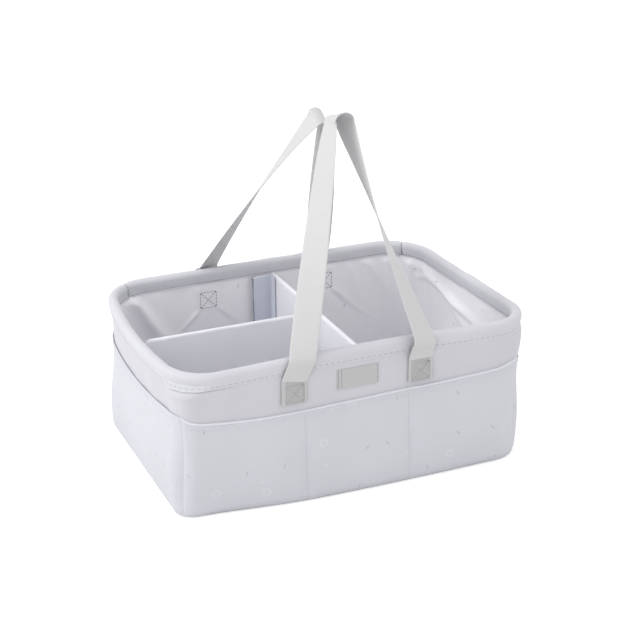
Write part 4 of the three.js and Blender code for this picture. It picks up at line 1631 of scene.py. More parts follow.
@dataclass
class Lining:
    """Satin lining of the walls and floor, caught at the rim, the tab stitching and the floor.

    Its slack comes in over the distance hung below the top, and goes out over the heights lying near the
    floor.
    """

    layout: Layout
    face: float = 3.3 * MM
    cloth: float = 0.7 * MM
    bottom: float = 5.0 * MM
    plain_top: float = 60 * MM
    top: float = 141 * MM
    step: float = 2.4 * MM
    clear: float = 0.1 * MM
    floor_top: float = 5.8 * MM
    floor_cloth: float = 1.0 * MM
    floor_rows: int = 61
    floor_wave: float = 0.35 * MM
    floor_edge: float = 12 * MM
    box: float = 18 * MM
    box_low: float = 111 * MM
    box_middle: float = 11.5 * MM
    box_span: Span = (9 * MM, 14 * MM)
    crease_top: float = 2 * MM
    seeds: tuple[int, int] = (31, 37)
    wave: float = 0.5 * MM
    slack_span: Span = (-0.8 * MM, 9 * MM)
    hung: float = 10 * MM
    lying: Span = (6 * MM, 20 * MM)

    def hung_folds(self) -> Folds:
        """Folds that hang from the rim seam on both sides of the back right corner and in the back left one.

        Returns:
            The folds, from rows of place, drift, width, length and height, in millimetres apart from the
            drift.
        """
        on_right = ((72, -0.3, 3, 22, 1.6), (86, -0.5, 4, 34, 2.4), (107, 0.1, 6, 110, 4.4))
        on_back = (
            (-150, -0.1, 6, 80, 3),
            (-122, -0.67, 7, 56, 3),
            (-97, -0.34, 4.5, 34, 1.5),
            (-84, 1.3, 5, 26, 1),
            (160, -0.7, 7, 70, 9),
        )
        table = np.array(on_right + on_back) * (MM, 1, MM, MM, MM)
        middles = [self.layout.plan.middle(side) for side in (Side.RIGHT, Side.BACK)]
        table[:, 0] += np.repeat(middles, (len(on_right), len(on_back)))
        return Folds(*table.T)

    def drag_lines(self, columns: Columns, z: Array) -> Array:
        """Long folds that run forwards and slightly down along the right wall.

        Each row of the table is a start along the wall, then height, drift, width, length and height of the
        fold, in millimetres apart from the drift.

        Args:
            columns: Columns.
            z: Heights.

        Returns:
            Offsets inwards.
        """
        table = np.array([
            (46, 121.4, -0.19, 4.5, 50, 3.4),
            (7, 116, -0.23, 4.5, 36, 3.2),
            (-2, 99, -0.45, 6, 26, 2.4),
            (88, 121, 0.3, 3, 13, 1.6),
        ]) * (MM, MM, 1, MM, MM, MM)
        start = self.layout.plan.middle(Side.RIGHT) + table[:, 0, None, None]
        return Folds(*table[:, 1:].T).relief(z, start - columns.around, self.layout.plan.loop)

    def box_creases(self) -> Folds:
        """Creases that run down and outwards from the lower corners of each stitched square.

        Returns:
            The folds: on each hand an outer ridge and an inner groove.
        """
        table = np.array([
            (hand * place * MM, hand * drift, 2.2 * MM, length * MM, height * MM)
            for hand in (-1, 1)
            for place, drift, length, height in ((9.5, 1.1, 34, 2.2), (5.5, 0.85, 28, -1.1))
        ])
        rows = np.tile(table, (len(self.layout.tabs()), 1))
        rows[:, 0] += np.repeat(self.layout.tabs(), len(table))
        return Folds(*rows.T)

    def relief(self, columns: Columns, z: Array) -> Array:
        """Slack of the lining inwards: puckers and folds hung from the rim, and creases under the squares.

        Args:
            columns: Columns.
            z: Heights.

        Returns:
            Offsets inwards.
        """
        draw = np.random.default_rng(self.seeds[0])
        layout, loop, around, drop = self.layout, self.layout.plan.loop, columns.around, self.top - z
        puckers = Folds.scattered(
            draw, np.arange(0, loop, 8 * MM), jitter=5 * MM, drift=0.5,
            width=(1.6 * MM, 3.2 * MM), length=(7 * MM, 22 * MM), height=(-0.5 * MM, 0.6 * MM))
        slack = sum(folds.relief(around, drop, loop) for folds in (puckers, self.hung_folds()))
        slack = slack + self.drag_lines(columns, z)
        slack = slack + self.wave * ripples(draw, around, z, loop, 8, (8, 28), 7.0)
        under = layout.tab_low + self.crease_top - z
        creases = self.box_creases().relief(around, np.clip(under, 0, None), loop)
        slack = slack + creases * ease(0, 3 * MM, under)
        above = np.abs(z - layout.tab_low - self.box_middle)
        for middle in layout.tabs():
            aside = np.abs(wrapped(around - middle, loop))
            slack = slack * ease(*self.box_span, np.maximum(aside, above))
        held = ease(0, self.hung, drop) * ease(*self.lying, z)
        untaped = 1 - np.clip(layout.tape_mask(around, z), 0, 1)
        return np.clip(slack, *self.slack_span) * held * untaped

    def build(self) -> None:
        """Builds the wall lining and the floor lining."""
        plan = self.layout.plan
        ring = plan.columns(list(Side), self.step)
        fine_from = self.plain_top + 2.5 * MM
        low, high = np.linspace(self.bottom, self.plain_top, 14), np.linspace(fine_from, self.top, 44)
        z = np.concatenate([low, high])[:, None]
        inward = self.face + self.relief(ring, z)
        walls = wall_sheet("lining_walls", plan, ring, z, -inward, -inward + self.cloth)
        settle(walls, Body.BASKET, Finish.LINING, *[f"lining_{side.word}" for side in Side])
        plan.loop
        x, y = plan_grid(plan, -self.face - self.clear, self.floor_top, self.floor_rows)
        draw = np.random.default_rng(self.seeds[1])
        swell = self.floor_wave * ripples(draw, x, y, 0.36, 6, (2, 9), 14.0)
        inside = (plan.half_width - np.abs(y), plan.half_length - np.abs(x))
        free = ease(0, self.floor_edge, inside[0]) * ease(0, self.floor_edge, inside[1])
        top = self.floor_top - self.floor_wave + swell * free
        floor = plate_sheet("floor_lining", x, y, top, top - self.floor_cloth)
        settle(floor, Body.BASKET, Finish.LINING, "lining_floor")
        float(np.ptp(x))
        float(np.ptp(y))

    def stitch(self) -> list[Row]:
        """Stitched squares behind the four tabs.

        Returns:
            The rows of stitches.
        """
        rows, depth = [], self.layout.plan.half_width - self.face - self.clear
        across, up = np.array([self.box, 0, 0]), np.array([0, 0, self.box])
        for hand in (-1, 1):
            for facing in (-1, 1):
                left = hand * self.layout.tab_reach - self.box / 2
                corner = np.array([left, facing * depth, self.box_low])
                rows += boxed_cross(corner, across, up, np.array([0, -facing, 0.0]))
        return rows


@dataclass(frozen=True)
class Twist:
    """Turn of a strap's leg about its course: a power of the share of the way from the rim to the crest."""

    start: float
    end: float
    power: float

    def at(self, share: Array) -> Array:
        """Turn at some shares of the way up."""
        return self.start + (self.end - self.start) * share**self.power


@dataclass
class Handle:
    """One webbing strap, from a sewn tab up over the rim, twisting to a crest and down to the other tab.

    A turned one is built at the front and turned half round. A leg that is twisted at the rim goes aside
    there by the share slide of an untwisted one's way. The pulls are lengths of the curve's tangents at rim
    and crest, and the webbing's direction is evened over so many points.
    """

    layout: Layout
    body: Body
    turned: bool
    crest: float
    crest_height: float
    bow: float
    splay: Span
    left: Twist
    right: Twist
    slide: float
    bend: float
    width: float = 27 * MM
    thickness: float = 1.6 * MM
    wall_gap: float = 6.3 * MM
    flex: float = 131 * MM
    roll_out: float = 1.3 * MM
    roll_height: float = 149.4 * MM
    crest_out: float = 15 * MM
    crest_radius: float = 7.5 * MM
    lean: float = math.radians(29)
    start_pull: float = 14 * MM
    end_pull: float = 10 * MM
    even: int = 43
    arc_steps: int = 22
    slope_steps: int = 6
    curve_steps: int = 66
    crest_steps: int = 20
    section_steps: int = 21
    selvedge: tuple[float, int] = (1.02, 12)
    boxed: float = 0.72
    hinge_half: float = 2.5 * MM
    box: float = 19 * MM
    box_margin: float = 2 * MM

    def over_rim(self, top: Array) -> tuple[Array, float]:
        """Course in a level section from the flex line to where it leaves the rim towards the crest.

        It touches the circle round the padded rim, follows it and leaves it along a tangent through the
        crest.

        Args:
            top: The crest, as distance from the basket's middle and height.

        Returns:
            Points as distances and heights, and the angle at which the course leaves the rim.
        """
        half_width = self.layout.plan.half_width
        centre = np.array([half_width + self.roll_out, self.roll_height])
        root = np.array([half_width + self.wall_gap, self.flex])
        below, above = root - centre, top - centre
        touch = math.atan2(below[1], below[0]) + math.acos(self.bend / np.linalg.norm(below))
        leave = math.atan2(above[1], above[0]) - math.acos(self.bend / np.linalg.norm(above))
        angle = np.linspace(touch, leave, self.arc_steps)
        arc = centre + self.bend * np.stack([np.cos(angle), np.sin(angle)], -1)
        slope = root + (arc[0] - root) * np.linspace(0, 1, self.slope_steps)[:-1, None]
        return np.concatenate([slope, arc]), leave

    def leg(self, hand: int, turn: Twist) -> tuple[Array, Array]:
        """Course of one leg from the foot of its tab to the crest, and the webbing's twist along it.

        The course runs up the wall and over the rim, and goes on to the crest along a cubic Bezier curve. A
        leg that is already twisted at the rim stands off it by half its width times the sine of that twist,
        so that one edge still lies on the rim.

        Args:
            hand: -1 for the left leg and 1 for the right one, seen from outside.
            turn: The leg's twist.

        Returns:
            Points and twists.
        """
        tab, splay = hand * self.layout.tab_reach, self.splay[max(hand, 0)]
        aside, rise = self.crest_radius * math.cos(splay), self.crest_radius * math.sin(splay)
        end = np.array(
            [self.crest + hand * aside, -self.crest_out, self.crest_height - self.crest_radius + rise]
        )
        top = np.array([self.crest_out, end[2]])
        side, leave = self.over_rim(top)
        runs = runs_along(side)[1:]
        drift = (end[0] - tab) / (runs[-1] + np.linalg.norm(side[-1] - top))
        slide = drift if turn.start == 0 else self.slide * drift
        over = np.stack([tab + slide * runs, -side[1:, 0], side[1:, 1]], -1)
        climb = np.linspace(self.layout.tab_low, self.flex, SEWN_STEPS + 1)
        sewn = np.stack([np.full_like(climb, tab), np.full_like(climb, -side[0, 0]), climb], -1)
        away = unit(np.array([drift, math.sin(leave), math.cos(leave)]))
        fall = np.array([hand * math.sin(splay), 0, -math.cos(splay)])
        share = np.linspace(0, 1, self.curve_steps)[1:, None]
        poles = (over[-1], over[-1] + away * self.start_pull, end + fall * self.end_pull, end)
        weights = ((1 - share) ** 3, 3 * share * (1 - share) ** 2, 3 * share**2 * (1 - share), share**3)
        curve = sum(weight * pole for weight, pole in zip(weights, poles, strict=True))
        curve[:, 0] += (self.bow if hand > 0 else 0) * np.sin(math.pi * share[:, 0]) ** 2
        points = np.concatenate([sewn, over, curve])
        turning = turn.start * ease(0, runs[-1], runs)
        twist = np.concatenate([np.zeros(len(sewn)), turning, turn.at(share[:, 0])])
        fade = np.concatenate([np.ones(len(sewn) + len(over)), 1 - ease(0, 0.5, share[:, 0])])
        points[:, 1] -= self.width / 2 * np.sin(np.minimum(twist, turn.start)) * fade
        return points, twist

    def course(self) -> tuple[Array, Array]:
        """Course of the whole strap with the crest's arc between the legs, and its twist.

        Returns:
            Points and twists.
        """
        (left, left_twist), (right, right_twist) = self.leg(-1, self.left), self.leg(1, self.right)
        angle = np.linspace(math.pi - self.splay[0], self.splay[1], self.crest_steps)[1:-1]
        crest = np.stack([
            self.crest + self.crest_radius * np.cos(angle),
            np.full_like(angle, -self.crest_out),
            self.crest_height - self.crest_radius + self.crest_radius * np.sin(angle),
        ], -1)
        points = np.concatenate([left, crest, right[::-1]])
        over = np.linspace(left_twist[-1], math.pi - right_twist[-1], len(crest))
        twist = np.concatenate([left_twist, over, math.pi - right_twist[::-1]])
        if not self.turned:
            points[:, 2] += self.layout.plan.sway(points[:, 0], points[:, 1], points[:, 2])[1]
        return points, twist

    def axes(self, points: Array, twist: Array) -> tuple[Array, Array]:
        """Unit vectors across the webbing and out of its face, both square to its course.

        Without twist the webbing lies along the wall; at a quarter turn it is square to the leaning plane of
        its loop. The vectors are evened along the course, so that the twist runs smoothly over the crest.

        Args:
            points: Points of the course.
            twist: Twists there.

        Returns:
            The two sets of vectors.
        """
        course = unit(np.gradient(points, axis=0))

        def squared(vectors: Array) -> Array:
            """Unit vectors with their part along the course taken out."""
            return unit(vectors - course * np.sum(vectors * course, axis=1, keepdims=True))

        sine = np.sin(twist)
        across = np.stack([np.cos(twist), -sine * math.cos(self.lean), sine * math.sin(self.lean)], -1)
        padded = np.pad(squared(across), ((self.even // 2, self.even // 2), (0, 0)), "edge")
        window = np.hanning(self.even)
        across = squared(np.stack([np.convolve(part, window, "valid") for part in padded.T], -1))
        return across, np.cross(across, course)

    def place(self, points: Array) -> Array:
        """Points turned to the strap's own side of the basket."""
        return points * np.array([-1, -1, 1]) if self.turned else points

    def build(self) -> None:
        """Builds the strap with rounded selvedges."""
        points, twist = self.course()
        across, facing = self.axes(points, twist)
        share = np.sin(np.linspace(-math.pi / 2, math.pi / 2, self.section_steps))
        fullness, power = self.selvedge
        height = self.thickness / 2 * np.sqrt(fullness - np.abs(share) ** power)
        middle = points + (share * self.width / 2)[:, None, None] * across
        lift = height[:, None, None] * facing
        word = "back" if self.turned else "front"
        strap = two_faced(f"{self.body.value}_strap", self.place(middle + lift), self.place(middle - lift))
        settle(strap, None, Finish.WEBBING, self.body.value, f"{word}_left_tab", f"{word}_right_tab")
        strap.data.materials.append(Finish.TAB.material())
        strap.data.materials.append(Finish.TAB_EDGE.material())
        row, column = np.divmod(np.arange(len(strap.data.polygons)), len(points) - 1)
        sewn = np.minimum(column, len(points) - 2 - column) < SEWN_STEPS
        boxed = sewn & (np.abs(np.append(share, share[::-1])[row % (2 * len(share))]) < self.boxed)
        strap.data.polygons.foreach_set("material_index", 2 * sewn.astype(np.int32) - boxed)
        hinge = self.place(np.array([0, -self.layout.plan.half_width - self.wall_gap, self.flex]))
        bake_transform(strap)
        log.info("%s: %.0f mm of webbing", strap.name, runs_along(points)[-1] / MM)

    def stitch(self) -> list[Row]:
        """Stitched square on each of the two tabs.

        Returns:
            The rows of stitches.
        """
        rows, low = [], self.layout.tab_low + self.box_margin
        face = -self.layout.plan.half_width - self.wall_gap - self.thickness / 2
        across, outward = self.place(np.array([self.box, 0, 0])), self.place(np.array([0, -1.0, 0]))
        up = np.array([0, 0, self.box - 1 * MM])
        for hand in (-1, 1):
            corner = self.place(np.array([hand * self.layout.tab_reach - self.box / 2, face, low]))
            rows += boxed_cross(corner, across, up, outward)
        return rows


@dataclass
class Label:
    """Blank woven label, folded under at its ends and stitched down there.

    Its ends are shares of the half width at which it is drawn in, and a row is a share of the width and a
    gap.
    """

    layout: Layout
    thickness: float = 0.8 * MM
    middle: float = 124 * MM
    height: float = 18.5 * MM
    inner: float = 5.1 * MM
    ends: Span = (0.92, 0.8)
    drawn: Span = (0.4 * MM, 0.7 * MM)
    rows: tuple[Span, ...] = ((0.03, 0.2 * MM), (0.1, 0.2 * MM), (0.96, 1.4 * MM))
    stitch: float = 2.2 * MM

    def columns(self, step: float = 1 * MM) -> Columns:
        """Columns across the label."""
        end = self.layout.label_half / self.layout.plan.seam_reach * SEAM_STATION
        return self.layout.plan.columns([Side.FRONT], step, -end, end)

    def offset(self, columns: Columns) -> Array:
        """Offset of the face: drawn in at the stitches near each end and at a fold near the left end.

        Args:
            columns: Columns.

        Returns:
            Offsets.
        """
        stitched, folded = (share * self.layout.label_half for share in self.ends)
        drawn = (
            ridge(np.abs(columns.around) - stitched, *self.drawn)
            + ridge(columns.around + folded, *self.drawn)
        )
        return self.inner + self.thickness - drawn

    def build(self) -> None:
        """Builds the label and its stitches."""
        plan, columns = self.layout.plan, self.columns()
        up = edged(10, 0.02)
        z = (self.middle - self.height / 2 + self.height * up)[:, None]
        face = self.offset(columns) + 0 * z
        label = wall_sheet("front_label", plan, columns, z, face, face - self.thickness * edge_thickness(up))
        settle(label, Body.BASKET, Finish.LABEL, "label_patch")
        points, rows = plan.point(columns, z[1:-1], face[1:-1]), []
        for share, gap in self.rows:
            spot = round((len(columns.station) - 1) * share)
            rows.append(stitch_row(points[:, spot], plan.outward(columns)[spot], self.stitch, gap))
        sew("label_stitches", rows, 0.25 * MM, Finish.BOX_THREAD)


@dataclass
class Divider:
    """An upright divider: cloth folded over a stiff board, sewn flat along its ends.

    The skew is how far its ends have been pushed aside. The hem's seam has a depth, a place and a width.
    """

    name: str
    body: Body
    start: Span
    course: Span
    length: float
    bottom: float
    top: float
    half: float = 2.5 * MM
    corners: Span = (7 * MM, 2 * MM)
    cloth: float = 0.8 * MM
    crest: float = 1.5 * MM
    trim: float = 1.2 * MM
    skew: Span = (0.0, 0.0)
    pinch: float = 0.3
    pinch_reach: float = 5 * MM
    seed: int = 41
    wave: float = 0.13
    wave_end: float = 14 * MM
    hem: tuple[float, float, float] = (0.12, 6 * MM, 1.0 * MM)

    @classmethod
    def from_frame(cls, name: str, body: Body, more: float, skew: Span = (0.0, 0.0)) -> "Divider":
        """A divider as large as its cover in the frame, along the cover's longer side.

        Args:
            name: Divider's name.
            body: Body that carries it.
            more: How far the cloth reaches beyond the frame's cover at the wall.
            skew: How far its two ends have been pushed aside.

        Returns:
            The divider.
        """
        low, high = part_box(f"{name}_cover")
        size, top = high - low, high.z + cls.crest
        if size.x > size.y:
            start, length = (low.x - more, (low.y + high.y) / 2), size.x - cls.trim + more
            return cls(name, body, start, (1, 0), length, low.z, top, skew=skew)
        return cls(name, body, ((low.x + high.x) / 2, low.y), (0, 1), size.y + more, low.z, top, skew=skew)

    def places(self) -> Array:
        """Distances along the divider, closer together at its ends.

        Returns:
            Rising distances.
        """
        near, even = np.array([0, 0.3, 0.8, 1.5, 2.5, 4.0, 5.5, 7.0]) * MM, 9 * MM
        middle = np.linspace(even, self.length - even, int(self.length / (2.5 * MM)))
        return np.concatenate([near, middle, self.length - near[::-1]])

    def outline(self, along: Array) -> tuple[Array, Array]:
        """Shape seen from the side: a quarter circle at each top corner, and ends sewn flat.

        Args:
            along: Distances along the divider.

        Returns:
            Top heights and half thicknesses.
        """
        inset = np.minimum(along, self.length - along)
        corner = np.where(along < self.length / 2, *self.corners)
        short = np.clip(corner - inset, 0, None)
        top = self.top - corner + np.sqrt(corner**2 - short**2)
        round_end = np.sqrt(1 - np.clip(1 - inset / self.pinch_reach, 0, 1) ** 2)
        return top, self.half * (self.pinch + (1 - self.pinch) * round_end)

    def skin(self, along: Array, inset: float, least: float = 0.15 * MM) -> tuple[Array, Array]:
        """Section up one face, over the half-round top fold and down the other face.

        Args:
            along: Distances along the divider.
            inset: How far inside the outer surface.
            least: Least half thickness.

        Returns:
            Offsets from the divider's middle and heights, by row and column.
        """
        top, half = self.outline(along)
        half, top = np.maximum(half - inset, least), top - inset
        rise = np.linspace(0, 1, 34)[:, None]
        angle = np.linspace(math.pi, 0, 11)[1:-1, None]
        flank = self.bottom + (top - half - self.bottom) * rise
        across = np.concatenate([-half + 0 * rise, half * np.cos(angle), half + 0 * rise])
        height = np.concatenate([flank, top - half + half * np.sin(angle), flank[::-1]])
        draw = np.random.default_rng(self.seed + len(self.name))
        waves = ripples(draw, along, height * np.sign(across), 0.3, 6, (2, 9), 9.0)
        free = ease(0, self.wave_end, np.minimum(along, self.length - along))
        depth, place, width = self.hem
        return across * (1 + self.wave * waves * free - ridge(top - height - place, depth, width)), height

    def settle_points(self, along: Array, across: Array, height: Array) -> Array:
        """Points in the frame, with the skew running evenly from end to end.

        Args:
            along: Distances along the divider.
            across: Offsets from its middle.
            height: Heights.

        Returns:
            Points, with a last axis of 3.
        """
        (x, y), (run_x, run_y) = self.start, self.course
        along = along + 0 * across
        aside = across + self.skew[0] + (self.skew[1] - self.skew[0]) * along / self.length
        return np.stack([x + run_x * along - run_y * aside, y + run_y * along + run_x * aside, height], -1)

    def build(self) -> None:
        """Builds the cover and the board inside it."""
        along = self.places()
        face, back = (self.settle_points(along, *self.skin(along, inset)) for inset in (0.0, self.cloth))
        cover = two_faced(f"{self.name}_cloth", face, back)
        settle(cover, self.body, Finish.DIVIDER, f"{self.name}_cover")
        low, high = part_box(f"{self.name}_board")
        thickness, length = sorted((high.x - low.x, high.y - low.y))
        margin = (self.length - length) / 2
        along = np.linspace(margin, self.length - margin, 30)
        share = edged(6, 0.01)
        height = (low.z + (high.z - low.z) * share)[:, None] + 0 * along
        half = thickness / 2 * edge_thickness(share) + 0 * along
        face, back = (self.settle_points(along, hand * half, height) for hand in (1, -1))
        board = two_faced(f"{self.name}_panel", face, back)
        settle(board, self.body, Finish.BOARD, f"{self.name}_board")


@dataclass
class Flap:
    """A fastening flap: a strip sewn to a divider's face, turned along the wall, with hook and loop tapes.

    Offsets are from the hinge, towards the wall. Spans are shares of the reach, apart from bend_span, which
    is a pair of distances from the hinge.
    """

    name: str
    body: Body
    carrier: Body
    hinge: Span
    course: Span
    inward: Span
    aside: float = 0.0
    low: float = 9.2 * MM
    high: float = 138.6 * MM
    sewn: float = 11 * MM
    seat: float = 0.65 * MM
    stand: float = 0.75 * MM
    bend: float = 1.3 * MM
    reach: float = 22.1 * MM
    cloth: float = 1.1 * MM
    curl: float = 1.6 * MM
    curl_span: Span = (0.7, 1.0)
    wave: Span = (0.5 * MM, 47 * MM)
    rumple: float = 0.35 * MM
    rumple_span: Span = (0.15, 0.4)
    bend_span: Span = (1.4 * MM, 3.6 * MM)
    tape_margin: float = 1.5 * MM
    tape_shift: float = 0.7
    hook_from: float = 1.65 * MM
    loop_from: float = 2.95 * MM
    tape: float = 1.0 * MM

    def put(self, ahead: Array, wallward: Array, z: Array) -> Array:
        """Points in the frame.

        Args:
            ahead: Distances along the flap's course from its hinge.
            wallward: Distances towards the wall.
            z: Heights.

        Returns:
            Points, with a last axis of 3.
        """
        ahead, wallward, z = np.broadcast_arrays(ahead + self.aside, wallward, z)
        x, y = (self.hinge[k] + self.course[k] * ahead - self.inward[k] * wallward for k in range(2))
        return np.stack([x, y, z], -1)

    def path(self) -> Array:
        """Section of the strip: along the divider, round the bend and along the wall.

        Returns:
            Points as distances ahead and towards the wall.
        """
        turn = np.linspace(math.pi, math.pi / 2, 9)
        centre = np.array([self.seat + self.bend, self.stand - self.bend])
        sewn = np.stack([np.full(8, self.seat), np.linspace(-self.sewn, centre[1], 8)], -1)[:-1]
        arc = centre + self.bend * np.stack([np.cos(turn), np.sin(turn)], -1)
        free = np.stack([np.linspace(centre[0], self.reach, 20), np.full(20, self.stand)], -1)[1:]
        return np.concatenate([sewn, arc, free])

    def build(self) -> None:
        """Builds the strip, bent between its divider and its free part, a dark thread row along its free edge
        as painted shadow, and both tapes.
        """
        path = self.path()
        course = unit(np.gradient(path, axis=0))
        share = edged(42, 0.006)
        z = (self.low + (self.high - self.low) * share)[:, None]
        height, length = self.wave
        wave = height * np.sin(2 * math.pi * (z - self.low) / length + len(self.name))
        draw = np.random.default_rng(len(self.name))
        rumple = self.rumple * ripples(draw, z, path[:, 0], 0.13, 6, (5, 16), 12.0)
        out = path[:, 0] / self.reach
        away = (self.curl + wave) * ease(*self.curl_span, out)
        away = away + (rumple + self.rumple) * ease(*self.rumple_span, out)
        half = self.cloth / 2 * edge_thickness(share)
        face, back = (
            self.put(path[:, 0] + side * course[:, 1], path[:, 1] - away - side * course[:, 0], z)
            for side in (half, -half)
        )
        strip = two_faced(f"{self.name}_strip", face, back)
        settle(strip, None, Finish.FLAP, self.name)
        start, end = (self.put(np.array(place), np.array(0.0), np.array(70 * MM)) for place in self.bend_span)
        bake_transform(strip)
        # A dark thread row along the free edge: painted shadow of the gap between the flap and the lining.
        edge = stitch_row(face[1:-1, -1], np.array([*self.inward, 0.0]), 2.6 * MM, 0.4 * MM)
        sew(f"{self.name}_overlock", [edge], 0.5 * MM, Finish.EDGE_THREAD, self.body)
        word = self.name.split("_")[0]
        self.tape_slab(f"{word}_hooks", self.hook_from, self.body, Finish.HOOKS, f"{word}_hook_tape")
        self.tape_slab(f"{word}_loops", self.loop_from, Body.BASKET, Finish.LOOPS, f"{word}_loop_tape")

    def tape_slab(self, name: str, near: float, body: Body, finish: Finish, node: str) -> None:
        """Builds one tape as a thin slab with rounded edges.

        Args:
            name: Piece's name.
            near: Distance of its nearer face from the hinge, towards the wall.
            body: Body that carries it.
            finish: Its finish.
            node: Node that it stands for.
        """
        share = edged(12, 0.01)
        low, high = self.low + self.tape_margin, self.high - self.tape_margin
        z = (low + (high - low) * share)[:, None]
        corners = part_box(node)
        spans = sorted(sum((end[k] - self.hinge[k]) * self.course[k] for k in range(2)) for end in corners)
        ahead = np.linspace(spans[0] + self.tape_shift * self.aside, spans[1], 12)
        half = self.tape / 2 * edge_thickness(share)
        middle = near + self.tape / 2
        slab = two_faced(name, *(self.put(ahead, middle - side, z) for side in (half, -half)))
        settle(slab, body, finish, node)


@dataclass(frozen=True)
class Lamp:
    """A broad round light that faces the caddy."""

    name: str
    place: tuple[float, float, float]
    power: float
    size: float

    def build(self, target: Vector) -> None:
        """Puts the light in the scene.

        Args:
            target: Point that it faces.
        """
        lamp = bpy.data.lights.new(self.name, "AREA")
        lamp.shape = "DISK"
        lamp.size = self.size
        lamp.energy = self.power
        light = new_object(self.name, lamp)
        light.location = self.place
        light.rotation_euler = (Vector(self.place) - target).to_track_quat("Z", "Y").to_euler()


@dataclass
class Studio:
    """White room: a pale floor, soft light from all round, a key light high at the left, and the camera."""

    azimuth: float = math.radians(-21.72)
    elevation: float = math.radians(23.46)
    roll: float = math.radians(-0.792)
    distance: float = 2.02424
    target: tuple[float, float, float] = (0.0135, 0.00094, 0.13051)
    lens: float = 110.02
    sensor: float = 36.0
    ambient: float = 1.1
    key: Lamp = Lamp("key", (-2.4, 0.1, 1.75), 27.6, 1.0)
    floor_reach: float = 6.0
    floor_tone: float = 0.86
    floor_glow: float = 0.3

    def build(self) -> None:
        """Builds the world, the floor, the light and the camera."""
        self.world()
        self.floor()
        self.key.build(Vector(self.target))
        self.camera()

    def world(self) -> None:
        """White to the camera, and a little brighter as light."""
        world = bpy.data.worlds.new("studio")
        bpy.context.scene.world = world
        world.use_nodes = True
        sketch = Sketch(world.node_tree)
        sink, path = sketch.add("OutputWorld"), sketch.add("LightPath")
        strength = sketch.ramp(path.outputs["Is Camera Ray"], 0.0, 1.0, self.ambient, 1.0)
        glow = sketch.add("Background", {"Color": (1, 1, 1, 1), "Strength": strength})
        sketch.feed(sink.inputs["Surface"], glow.outputs[0])

    def floor(self) -> None:
        """Plain pale floor that keeps the caddy's shadow and lifts its own tone to white in view."""
        mesh, reach = bpy.data.meshes.new("floor"), self.floor_reach
        corners = [(-reach, -reach, 0), (reach, -reach, 0), (reach, reach, 0), (-reach, reach, 0)]
        mesh.from_pydata(corners, [], [(0, 1, 2, 3)])
        floor = new_object("floor", mesh)
        material, sketch, surface = new_material("pale floor")
        path = sketch.add("LightPath")
        shader = sketch.add("BsdfPrincipled", {
            "Base Color": (self.floor_tone, self.floor_tone, self.floor_tone, 1),
            "Roughness": 1.0,
            "Specular IOR Level": 0.0,
            "Emission Color": (1, 1, 1, 1),
            "Emission Strength": sketch.math("MULTIPLY", path.outputs["Is Camera Ray"], self.floor_glow),
        })
        sketch.feed(surface, shader.outputs[0])
        mesh.materials.append(material)

    def camera(self) -> None:
        """Camera at the photograph's angle, looking at the target with a slight roll."""
        cosine = math.cos(self.elevation)
        level = (math.sin(self.azimuth) * cosine, -math.cos(self.azimuth) * cosine)
        back = Vector((*level, math.sin(self.elevation)))
        right = Vector((0, 0, 1)).cross(back).normalized()
        up = back.cross(right)
        turn, lean = math.cos(self.roll), math.sin(self.roll)
        right, up = right * turn + up * lean, up * turn - right * lean
        lens = bpy.data.cameras.new("camera")
        lens.lens = self.lens
        lens.sensor_width = self.sensor
        lens.clip_start = 50 * MM
        camera = new_object("camera", lens)
        axes = Matrix((right, up, back)).transposed().to_4x4()
        camera.matrix_world = Matrix.Translation(Vector(self.target) + back * self.distance) @ axes
        bpy.context.scene.camera = camera


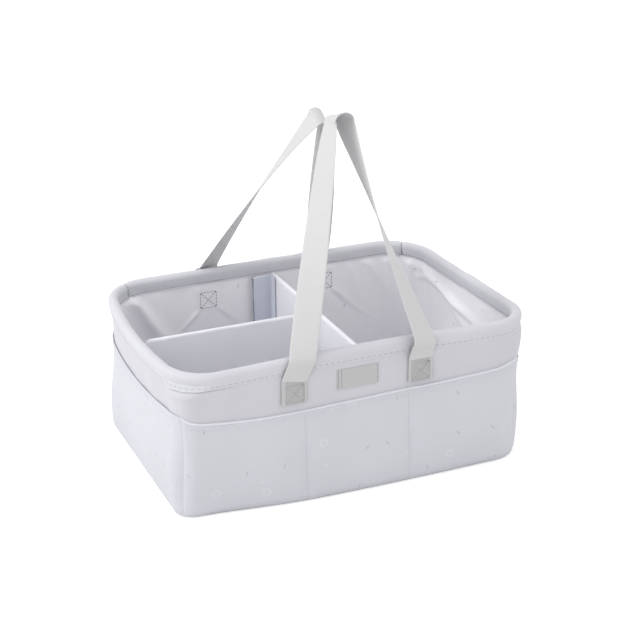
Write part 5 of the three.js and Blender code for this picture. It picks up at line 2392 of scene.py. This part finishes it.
def build_handles(layout: Layout) -> None:
    """Builds both straps and the stitches on their tabs.

    Args:
        layout: Where things meet the walls.
    """
    front_left, front_right = (0, 86, 1.1), (18, 129, 1.33)
    back_left, back_right = (0, 88, 1.1), (16, 84, 1.35)
    twists = [
        Twist(math.radians(start), math.radians(end), power)
        for start, end, power in (front_left, front_right, back_left, back_right)
    ]
    front_splay, back_splay = (tuple(np.radians(angles).tolist()) for angles in ((13, 13), (14, 54)))
    handles = [
        Handle(
            layout, Body.FRONT_HANDLE, False, crest=28.5 * MM, crest_height=354.5 * MM, bow=-1 * MM,
            splay=front_splay, left=twists[0], right=twists[1], slide=-0.35, bend=8.8 * MM),
        Handle(
            layout, Body.BACK_HANDLE, True, crest=-20.5 * MM, crest_height=346.2 * MM, bow=5 * MM,
            splay=back_splay, left=twists[2], right=twists[3], slide=0.75, bend=6.6 * MM),
    ]
    for handle in handles:
        handle.build()
    sew("tab_stitches", [row for handle in handles for row in handle.stitch()], 0.3 * MM, Finish.TAB_THREAD)


def build_insert() -> None:
    """Builds the lift-out divider: two covers with their boards, three flaps and their tapes."""
    Divider.from_frame("cross_divider", Body.CROSS_DIVIDER, 4 * MM, (-4 * MM, 5 * MM)).build()
    Divider.from_frame("long_divider", Body.LONG_DIVIDER, 3 * MM).build()
    x, y = 9.35 * MM, 118.05 * MM
    flaps = (
        Flap(
            "back_flap", Body.BACK_FLAP, Body.CROSS_DIVIDER, hinge=(x, y), course=(-1, 0), inward=(0, -1),
            aside=5 * MM, high=140 * MM),
        Flap("front_flap", Body.FRONT_FLAP, Body.CROSS_DIVIDER, hinge=(x, -y), course=(-1, 0), inward=(0, 1)),
        Flap(
            "left_flap", Body.LEFT_FLAP, Body.LONG_DIVIDER, hinge=(-173.05 * MM, 0.35 * MM), course=(0, -1),
            inward=(1, 0), high=120 * MM),
    )
    for flap in flaps:
        flap.build()


def main() -> None:
    """Builds the caddy and the studio."""
    logging.basicConfig(level=logging.INFO, format="%(name)s: %(message)s")
    log.info("frame: %d nodes", len(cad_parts))
    bpy.context.scene.view_settings.view_transform = "Standard"
    layout = Layout(Plan.from_frame())
    Padding(layout.plan).build()
    OuterShell(layout).build()
    rim, lining = Rim(layout), Lining(layout)
    rim.build()
    rim.stitch()
    pockets = [Pocket(layout, side) for side in Side]
    for pocket in pockets:
        pocket.build()
    seams = [row for pocket in pockets for row in pocket.stitch()]
    sew("pocket_stitches", seams, 0.25 * MM, Finish.SEAM_THREAD)
    lining.build()
    build_handles(layout)
    sew("lining_stitches", lining.stitch(), 0.38 * MM, Finish.BOX_THREAD)
    Label(layout).build()
    build_insert()
    Studio().build()


if __name__ == "__main__":
    main()
